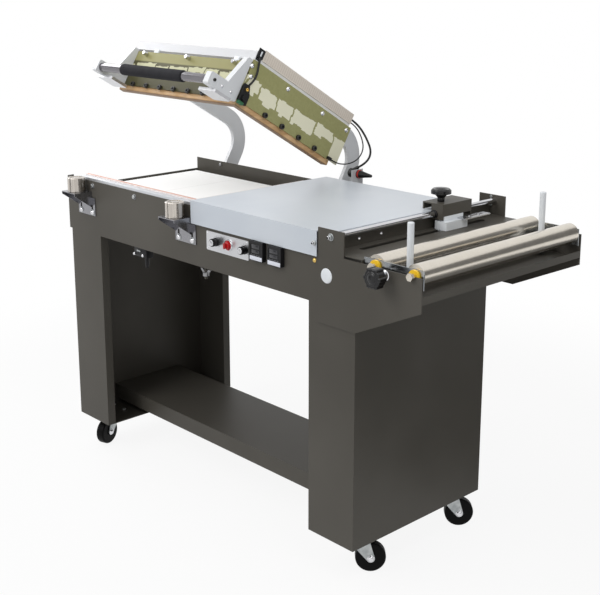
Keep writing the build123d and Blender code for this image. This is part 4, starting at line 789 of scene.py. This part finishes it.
def tower_bolts():
    """A nut on a stud, with its washer, on the outer face of each unwinder tower."""
    washer_tall = 0.0012
    for side, face, way in (("front", PLATE_FRONT, -1), ("rear", PLATE_REAR, 1)):
        outward = (0, way, 0)
        foot = (TOWER_BOLT_X, face, TOWER_BOLT_Z)
        nut = (TOWER_BOLT_X, face + way * washer_tall, TOWER_BOLT_Z)
        on_table(f"tower_washer_{side}", [foot], outward, washer(0.0088), ZINC)
        on_table(f"tower_bolt_{side}", [nut], outward, hex_head(0.0066), ZINC, HEX)
        on_table(f"tower_stud_{side}", [foot], outward, stand_off(0.0036, 0.0105), CHROME)


bracket_screws()
wall_bolts()
tower_bolts()
on_table("tower_plug", [TOWER_PLUG], FORWARD, PLUG_CROWN, WHITE_NYLON, 32)
on_table("apron_bolt", [APRON_BOLT], FORWARD, hex_head(0.0064), ZINC, HEX)
on_table("apron_stud", [APRON_BOLT], FORWARD, stand_off(0.0034, 0.0085), CHROME)
on_table("rear_plate_bolts", REAR_PLATE_BOLTS, FORWARD, hex_head(0.0042), ZINC, HEX)
on_table("tray_upstand_screws", UPSTAND_SCREWS, RIGHTWARD, dome_head(0.0048), CHROME)
on_table("guard_bolt", [GUARD_BOLT], FORWARD, hex_head(0.0058), SPRING_STEEL, HEX)
on_table("wall_brass_screw", [BRASS_SCREW], FORWARD, dome_head(0.006), BRASS)

# Control panel
PANEL_LOW, PANEL_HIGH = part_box("control_plate")
PANEL_FACE = PANEL_LOW.y
PANEL_SCREW_IN = 0.005
KNOB_RIBS = 24
DIAL_MARKS = 11
DIAL_STEP = radians(27.0)


def panel_fittings():
    """Corner screws, each timer knob's cap, ribs and pointer, dial marks round it, and the switch's ring."""
    corners = [(x, PANEL_FACE, z) for x in (PANEL_LOW.x + PANEL_SCREW_IN, PANEL_HIGH.x - PANEL_SCREW_IN)
               for z in (PANEL_LOW.z + PANEL_SCREW_IN, PANEL_HIGH.z - PANEL_SCREW_IN)]
    on_table("panel_screws", corners, FORWARD, dome_head(0.0022), CHROME)
    cap = [(0, 0.0012), (0.006, 0.0011), (0.0074, 0.0006), (0.0078, 0), (0, 0)]
    pointer = ((-0.0005, -0.0014, 0.001), (0.0005, -0.0009, 0.0068))
    rib_turns = [2 * pi * i / KNOB_RIBS for i in range(KNOB_RIBS)]
    mark_turns = [DIAL_STEP * (i - DIAL_MARKS // 2) for i in range(DIAL_MARKS)]
    for side in ("left", "right"):
        body = f"timer_{side}"
        knob = middle_of(f"timer_knob_{side}")
        knob.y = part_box(f"timer_knob_{side}")[0].y
        fasteners(f"timer_cap_{side}", [knob], FORWARD, cap, PLATE_STEEL, body, steps=28)
        slab_ring(f"timer_ribs_{side}", (-0.0007, 0.0015, 0.0088), (0.0007, 0.0125, 0.0101), 0.0003, knob,
                  rib_turns, KNOB_PLASTIC, body)
        slabs(f"timer_pointer_{side}", [pointer], 0.0002, MARK_PAINT, body, Matrix.Translation(knob))
        slab_ring(f"timer_marks_{side}", (-0.0003, -0.0003, 0.013), (0.0003, 0.0002, 0.0155), 0.0001,
                  (knob.x, PANEL_FACE, knob.z), mark_turns, MARK_PAINT, "table")
    switch = middle_of("power_switch")
    ring = [(0.0124, 0.0), (0.0124, 0.0026), (0.0132, 0.0034), (0.0146, 0.003), (0.0155, 0.0014),
            (0.0155, 0.0), (0.0124, 0.0)]
    on_table("switch_ring", [(switch.x, PANEL_FACE, switch.z)], FORWARD, ring, CHROME, 40)


def controller_faces():
    """Two dark windows, a blank strip and four keys on each temperature controller."""
    low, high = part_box("temperature_controllers")
    size = high.z - low.z
    windows = [((0.008, 0.0001, below), (0.037, 0.0016, above))
               for below, above in ((0.030, 0.0405), (0.0185, 0.027))]
    strip = ((0.002, -0.0006, 0.0015), (size - 0.002, 0.0004, 0.0115))
    key_wide = 0.0074
    key_lefts = [0.0065 + i * 0.0092 for i in range(4)]
    keys = [((left, -0.0008, 0.0128), (left + key_wide, 0.0004, 0.0162)) for left in key_lefts]
    for side, start in (("left", low.x), ("right", high.x - size)):
        corner = Matrix.Translation((start, low.y, low.z))
        slabs(f"controller_windows_{side}", windows, 0.0006, DISPLAY_GLASS, "table", corner)
        slabs(f"controller_strip_{side}", [strip], 0.0003, BLANK_STRIP, "table", corner)
        slabs(f"controller_keys_{side}", keys, 0.0005, MARK_PAINT, "table", corner)


panel_fittings()
controller_faces()


def under_table_fitting():
    """Black latch block under the pan with two bright screws, a steel catch and a hanging pin."""
    front, under = -0.27, 0.677
    pin = [(0, 0.002), (0.006, 0.002), (0.006, -0.022), (0.0046, -0.024), (0.0046, -0.029), (0, -0.029)]
    catch = ((-0.347, front - 0.004, 0.6655), (-0.33, front + 0.002, 0.6705))
    screws = [(-0.3566, front, 0.657), (-0.3173, front, 0.658)]
    bm = bmesh.new()
    add_slab(bm, (-0.364, front, 0.65), (-0.306, front + 0.024, under), 0.002)
    add_turned(bm, pin, aim((-0.318, front + 0.01, 0.651), UPWARD), 20)
    make_piece("pan_latch_block", bm, BLACK_PLASTIC, "table")
    slabs("pan_latch_catch", [catch], 0.001, ZINC, "table")
    on_table("pan_latch_screws", screws, FORWARD, stand_off(0.0042, 0.007), CHROME)


under_table_fitting()

# Casters: fork and washer faces from a wheel's middle, a plate's holes from its king pin
FORK_HALF = 0.0172
WASHER_OUT = 0.0183
PLATE_HOLE = 0.027
LEG_SHEET = 0.002


def king_pin(corner):
    return Vector(joint_row(f"swivel_{corner}")["pos_m"])


def caster_fittings():
    """A washer and a domed nut on the axle's ends, each side of each fork."""
    for corner in CASTERS:
        hub = middle_of(f"caster_wheel_{corner}")
        pin = king_pin(corner)
        trail = Vector((hub.x - pin.x, hub.y - pin.y, 0)).normalized()
        across = Vector((trail.y, -trail.x, 0))
        bm = bmesh.new()
        for way in (-1, 1):
            add_turned(bm, washer(0.0095), aim(hub + across * way * FORK_HALF, across * way), 24)
            add_turned(bm, dome_head(0.0078), aim(hub + across * way * WASHER_OUT, across * way), 20)
        make_piece(f"caster_axle_nuts_{corner}", bm, CHROME, f"fork_{corner}")


def leg_floor_nuts():
    """Nuts of the two left casters on the floor of the open leg."""
    floor_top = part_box("left_leg")[0].z + LEG_SHEET
    places = [(pin.x + x, pin.y + y, floor_top) for pin in map(king_pin, CASTERS[:2])
              for x in (-PLATE_HOLE, PLATE_HOLE) for y in (-PLATE_HOLE, PLATE_HOLE)]
    on_table("leg_floor_nuts", places, UPWARD, hex_head(0.0066), ZINC, HEX)


caster_fittings()
leg_floor_nuts()

# Film carriage on its rod, and the clamp knob's axis
ROD_X = 0.422
ROD_RADIUS = 0.007
CARRIAGE_DEEP = 0.11
CLAMP_AXIS_Z = 0.786


def unwinder_fittings():
    """Rod bushes and bar screws on the carriage, and a bright sleeve behind the clamp knob."""
    low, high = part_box("carriage_channel")
    rod_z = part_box("cross_rods")[1].z - ROD_RADIUS
    bush = [(0.0074, 0.0), (0.0074, 0.004), (0.0092, 0.004), (0.0099, 0.0032), (0.0099, 0.0), (0.0074, 0.0)]
    for side, y, way in (("front", low.y, -1), ("rear", low.y + CARRIAGE_DEEP, 1)):
        fasteners(f"carriage_rod_bush_{side}", [(ROD_X, y, rod_z)], (0, way, 0), bush, BLACK_PLASTIC,
                  "carriage", steps=28)
    bar_screws = [(high.x - 0.012, y, low.z + 0.003) for y in (0.155, 0.19)]
    fasteners("slotted_bar_screws", bar_screws, UPWARD, dome_head(0.0052), SPRING_STEEL, "carriage")
    sleeve = [(0.0091, 0.0), (0.0118, 0.0), (0.0122, 0.0015), (0.0108, 0.003), (0.0104, 0.011),
              (0.0091, 0.011), (0.0091, 0.0)]
    foot = (middle_of("clamp_knob").x, PLATE_FRONT - 0.0006, CLAMP_AXIS_Z)
    fasteners("clamp_sleeve", [foot], FORWARD, sleeve, CHROME, "clamp_screw", steps=28)


def knob_caps():
    """A domed cap inside a shallow rim on each lobed knob."""
    cap = [(0, 0.0026), (0.007, 0.0023), (0.0112, 0.0012), (0.0122, 0.0005), (0.0134, 0.0011),
           (0.0148, 0.0009), (0.0158, 0), (0, 0)]
    clamp = middle_of("clamp_knob")
    clamp_face = (clamp.x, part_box("clamp_knob")[0].y, CLAMP_AXIS_Z)
    fasteners("clamp_knob_cap", [clamp_face], FORWARD, cap, KNOB_PLASTIC, "clamp_screw", steps=32)
    knob = middle_of("carriage_knob")
    knob.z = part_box("carriage_knob")[1].z
    fasteners("carriage_knob_cap", [knob], UPWARD, cap, KNOB_PLASTIC, "carriage_screw", steps=32)


unwinder_fittings()
knob_caps()

# Belt motor: its gearbox's depth and screws, and the rings along it
GEARBOX_DEEP = 0.04
GEARBOX_SCREW = 0.029
MOTOR_RINGS = 6
MOTOR_RINGS_FROM = 0.046
MOTOR_RING_PITCH = 0.0075


def motor_fittings():
    """Cooling rings and end cover round the belt motor, and screws on its gearbox."""
    low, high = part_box("conveyor_motor")
    middle = middle_of("conveyor_motor")
    ring = [(0.0318, 0.0), (0.0336, 0.0004), (0.0336, 0.0024), (0.0318, 0.0028), (0.0318, 0.0)]
    cover = [(0, 0.004), (0.02, 0.004), (0.026, 0.0026), (0.027, 0), (0, 0)]
    bm = bmesh.new()
    for i in range(MOTOR_RINGS):
        place = (middle.x, low.y + MOTOR_RINGS_FROM + MOTOR_RING_PITCH * i, middle.z)
        add_turned(bm, ring, aim(place, REARWARD), 40)
    add_turned(bm, cover, aim((middle.x, high.y, middle.z), REARWARD), 40)
    make_piece("motor_rings", bm, MOTOR_ENAMEL, "table")
    screws = [(middle.x + x, low.y + GEARBOX_DEEP, middle.z + z) for x in (-GEARBOX_SCREW, GEARBOX_SCREW)
              for z in (-GEARBOX_SCREW, GEARBOX_SCREW)]
    on_table("gearbox_screws", screws, REARWARD, socket_head(0.004), DARK_SCREW)


motor_fittings()

# Foam grip on the handle: its bore, the rounding of its ends, and the stations of its uneven skin
FOAM_BORE = 0.0126
FOAM_ROUNDED = 0.006
FOAM_STATIONS = 40
FOAM_SLACK = 0.00022


def foam_grip():
    """A foam sleeve, softly rounded at its ends and not quite even along its length."""
    low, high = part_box("handle_grip")
    middle = middle_of("handle_grip")
    long = high.x - low.x
    radius = (high.z - low.z) / 2
    end = []
    for i in range(7):
        angle = i * pi / 12
        end.append((radius - FOAM_ROUNDED * 0.5 * (1 - sin(angle)), FOAM_ROUNDED * (1 - cos(angle))))
    profile = [(FOAM_BORE, 0.0), *end]
    for i in range(1, FOAM_STATIONS):
        wave = 0.00012 * sin(i * 1.7) + 0.00010 * sin(i * 0.6)
        along = FOAM_ROUNDED + (long - 2 * FOAM_ROUNDED) * i / FOAM_STATIONS
        profile.append((radius - FOAM_SLACK + wave, along))
    profile += [(out, long - along) for out, along in reversed(end)]
    profile += [(FOAM_BORE, long), (FOAM_BORE, 0.0)]
    bm = bmesh.new()
    add_turned(bm, profile, aim((low.x, middle.y, middle.z), RIGHTWARD), 36)
    foam = frame["nodes"]["handle_grip"].material_slots[0].material
    piece = make_piece("handle_foam", bm, foam, "seal_arm", sharp=60.0)
    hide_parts("handle_grip")


foam_grip()

# Leads: routes in metres with the arm open
HEATER_ROUTE = [(-0.0970, 0.3076, 1.0010), (-0.0970, 0.3248, 0.9908), (-0.0840, 0.3366, 0.9720),
                (-0.0615, 0.3382, 0.9449), (-0.0305, 0.3262, 0.9119), (-0.0274, 0.3036, 0.8836),
                (-0.0485, 0.2912, 0.8699)]
HEATER_RADIUS = 0.003
BOARD_ROUTE = [(-0.0930, 0.3024, 0.9923), (-0.0930, 0.3213, 0.9811), (-0.0810, 0.3324, 0.9563),
               (-0.0660, 0.3313, 0.9209), (-0.0640, 0.3123, 0.8929), (-0.0720, 0.2883, 0.8789),
               (-0.0820, 0.2623, 0.8769), (-0.0870, 0.2379, 0.8837), (-0.0870, 0.2173, 0.8959)]
BOARD_LEAD_RADIUS = 0.0018
CORNER_ROUTE = [RAISE @ Vector(p) for p in (
    (-0.0872, -0.2450, 0.9880), (-0.0850, -0.2400, 0.9640), (-0.0838, -0.2350, 0.9420),
    (-0.0838, -0.2370, 0.9220), (-0.0850, -0.2450, 0.9060))]
CORNER_RADIUS = 0.0028


def lay_lead(name, route, radius):
    """A lead on one smooth spline through its route, and the points along its middle."""
    curve = bpy.data.curves.new(name, "CURVE")
    curve.dimensions = "3D"
    curve.resolution_u = 20
    spline = curve.splines.new("NURBS")
    spline.points.add(len(route) - 1)
    for point, place in zip(spline.points, route):
        point.co = (*place, 1.0)
    spline.order_u = 3
    spline.use_endpoint_u = True
    lead = bpy.data.objects.new(name, curve)
    scene.collection.objects.link(lead)
    line = bpy.data.meshes.new_from_object(lead.evaluated_get(bpy.context.evaluated_depsgraph_get()))
    middle = [v.co.copy() for v in line.vertices]
    bpy.data.meshes.remove(line)
    curve.bevel_depth = radius
    curve.bevel_resolution = 4
    curve.use_fill_caps = True
    curve.materials.append(LEAD_RUBBER)
    return lead, middle


def heater_lead():
    """The thick lead from the arm to its socket."""
    lead, middle = lay_lead("heater_line", HEATER_ROUTE, HEATER_RADIUS)
    bpy.context.view_layer.update()
    tube = bpy.data.meshes.new_from_object(lead.evaluated_get(bpy.context.evaluated_depsgraph_get()))
    bpy.data.objects.remove(lead)
    tube.name = "heater_cord"
    piece = bpy.data.objects.new("heater_cord", tube)
    scene.collection.objects.link(piece)
    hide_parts("heater_lead")
    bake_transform(piece)


def arm_lead(name, route, radius, node=None):
    """A lead that is held on the arm at both its ends."""
    lead, middle = lay_lead(name, route, radius)
    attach(lead, "seal_arm")
    if node:
        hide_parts(node)


heater_lead()
arm_lead("board_cord", BOARD_ROUTE, BOARD_LEAD_RADIUS, "board_lead")
arm_lead("corner_cord", CORNER_ROUTE, CORNER_RADIUS)


# Red ring round the heater socket's plug: the plug's axis, and the ring from the plug's end of the socket
PLUG_AXIS_Y = 0.285
PLUG_AXIS_Z = 0.852
PLUG_RING_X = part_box("lead_socket")[1].x - 0.047
PLUG_RING = [(0.0104, 0.0), (0.0118, 0.0), (0.0122, 0.0014), (0.0118, 0.0046), (0.0104, 0.0046),
             (0.0104, 0.0)]
on_table("socket_plug_ring", [(PLUG_RING_X, PLUG_AXIS_Y, PLUG_AXIS_Z)], RIGHTWARD, PLUG_RING, RING_RED, 32)


# Studio: white room, floor, lamps, cards that bright metal mirrors, and the photograph's camera
def white_room():
    """A world that looks white and lights the object more faintly."""
    world = bpy.data.worlds.new("white_room")
    scene.world = world
    tree = ShaderTree(world)
    light = tree.nodes["Background"]
    tree.feed(light.inputs["Color"], WHITE)
    tree.feed(light.inputs["Strength"], FILL_LIGHT + (1.0 - FILL_LIGHT) * tree.backdrop_rays())


def stage_sheet(name, material, matrix):
    """A flat sheet of the studio, a metre square before its matrix."""
    bm = bmesh.new()
    bmesh.ops.create_grid(bm, x_segments=1, y_segments=1, size=0.5)
    bmesh.ops.transform(bm, matrix=matrix, verts=bm.verts)
    mesh = bpy.data.meshes.new(name)
    bm.to_mesh(mesh)
    bm.free()
    mesh.materials.append(material)
    sheet = bpy.data.objects.new(name, mesh)
    scene.collection.objects.link(sheet)
    return sheet


def matt_grey(name, grey):
    """A matt grey material, with its nodes and its shader."""
    material = bpy.data.materials.new(name)
    tree = ShaderTree(material)
    shader = tree.nodes["Principled BSDF"]
    tree.feed(shader.inputs["Base Color"], (grey, grey, grey, 1.0))
    tree.feed(shader.inputs["Roughness"], MATT)
    return material, tree, shader


def pale_floor():
    """A floor that looks white, with a faint shadow near the object."""
    material, tree, shader = matt_grey("pale_floor", FLOOR_GREY)
    white = tree.add("ShaderNodeEmission", inputs={"Color": WHITE, "Strength": 1.0})
    spot = tree.add("ShaderNodeTexCoord", output="Object")
    away = tree.add("ShaderNodeVectorMath", {"operation": "LENGTH"}, {0: spot}, output="Value")
    far = tree.add("ShaderNodeMapRange", {"interpolation_type": "SMOOTHSTEP"}, {
        "Value": away, "From Min": FLOOR_NEAR, "From Max": FLOOR_FAR})
    mixed = tree.add("ShaderNodeMixShader", inputs={
        0: (1 - FLOOR_SHADE + FLOOR_SHADE * far) * tree.backdrop_rays(),
        1: Socket(tree, shader.outputs[0]), 2: white})
    tree.feed(tree.nodes["Material Output"].inputs["Surface"], mixed)
    stage_sheet("floor", material, Matrix.Diagonal((FLOOR_SIDE, FLOOR_SIDE, 1.0, 1.0)))


def soft_lamp(name, place, target, size, power):
    lamp = bpy.data.lights.new(name, "AREA")
    lamp.size = size
    lamp.energy = power
    holder = bpy.data.objects.new(name, lamp)
    holder.location = place
    holder.rotation_euler = (Vector(target) - Vector(place)).to_track_quat("-Z", "Y").to_euler()
    scene.collection.objects.link(holder)


def dark_card(name, place, target, wide, tall, shade=0.03):
    """A dark card that only mirrored rays see."""
    material, _, _ = matt_grey(name, shade)
    size = Matrix.Diagonal((wide, tall, 1.0, 1.0))
    card = stage_sheet(name, material, aim(place, Vector(target) - Vector(place)) @ size)
    card.visible_camera = False
    card.visible_diffuse = False
    card.visible_shadow = False


def photograph_camera():
    data = bpy.data.cameras.new("camera")
    data.sensor_width = CAMERA_SENSOR
    data.lens = CAMERA_LENS
    data.shift_y = CAMERA_SHIFT
    camera = bpy.data.objects.new("camera", data)
    camera.location = CAMERA_PLACE
    camera.rotation_euler = (radians(90.0 - CAMERA_ELEVATION), 0.0, radians(CAMERA_AZIMUTH))
    scene.collection.objects.link(camera)
    scene.camera = camera


white_room()
pale_floor()
soft_lamp("key_lamp", (-0.5, -3.0, 2.9), (-0.1, 0.0, 0.7), size=2.0, power=50.0)
soft_lamp("top_lamp", (-0.9, -1.3, 3.0), (-0.35, 0.0, 0.8), size=1.6, power=12.0)
soft_lamp("left_lamp", (-1.35, -0.2, 1.5), (-0.35, 0.0, 0.83), size=0.7, power=7.0)
soft_lamp("side_lamp", (1.3, -0.4, 2.3), (-0.1, 0.05, 1.05), size=0.9, power=10.0)
dark_card("rear_card", (1.9, 2.5, 1.5), (0.6, 0.0, 0.8), wide=3.4, tall=1.7, shade=0.28)
dark_card("floor_card", (1.25, 0.95, 0.02), (1.25, 0.95, 1.0), wide=1.3, tall=1.5, shade=0.24)
dark_card("front_card", (-1.5, -2.3, 0.4), (-0.35, -0.3, 0.8), wide=0.5, tall=0.8)
dark_card("right_card", (2.3, -0.35, 0.35), (-0.1, -0.3, 0.8), wide=1.0, tall=0.7)
dark_card("left_card", (-3.2, -0.6, 2.2), (-0.4, -0.2, 1.1), wide=2.6, tall=0.7)
photograph_camera()
scene.view_settings.view_transform = "Standard"
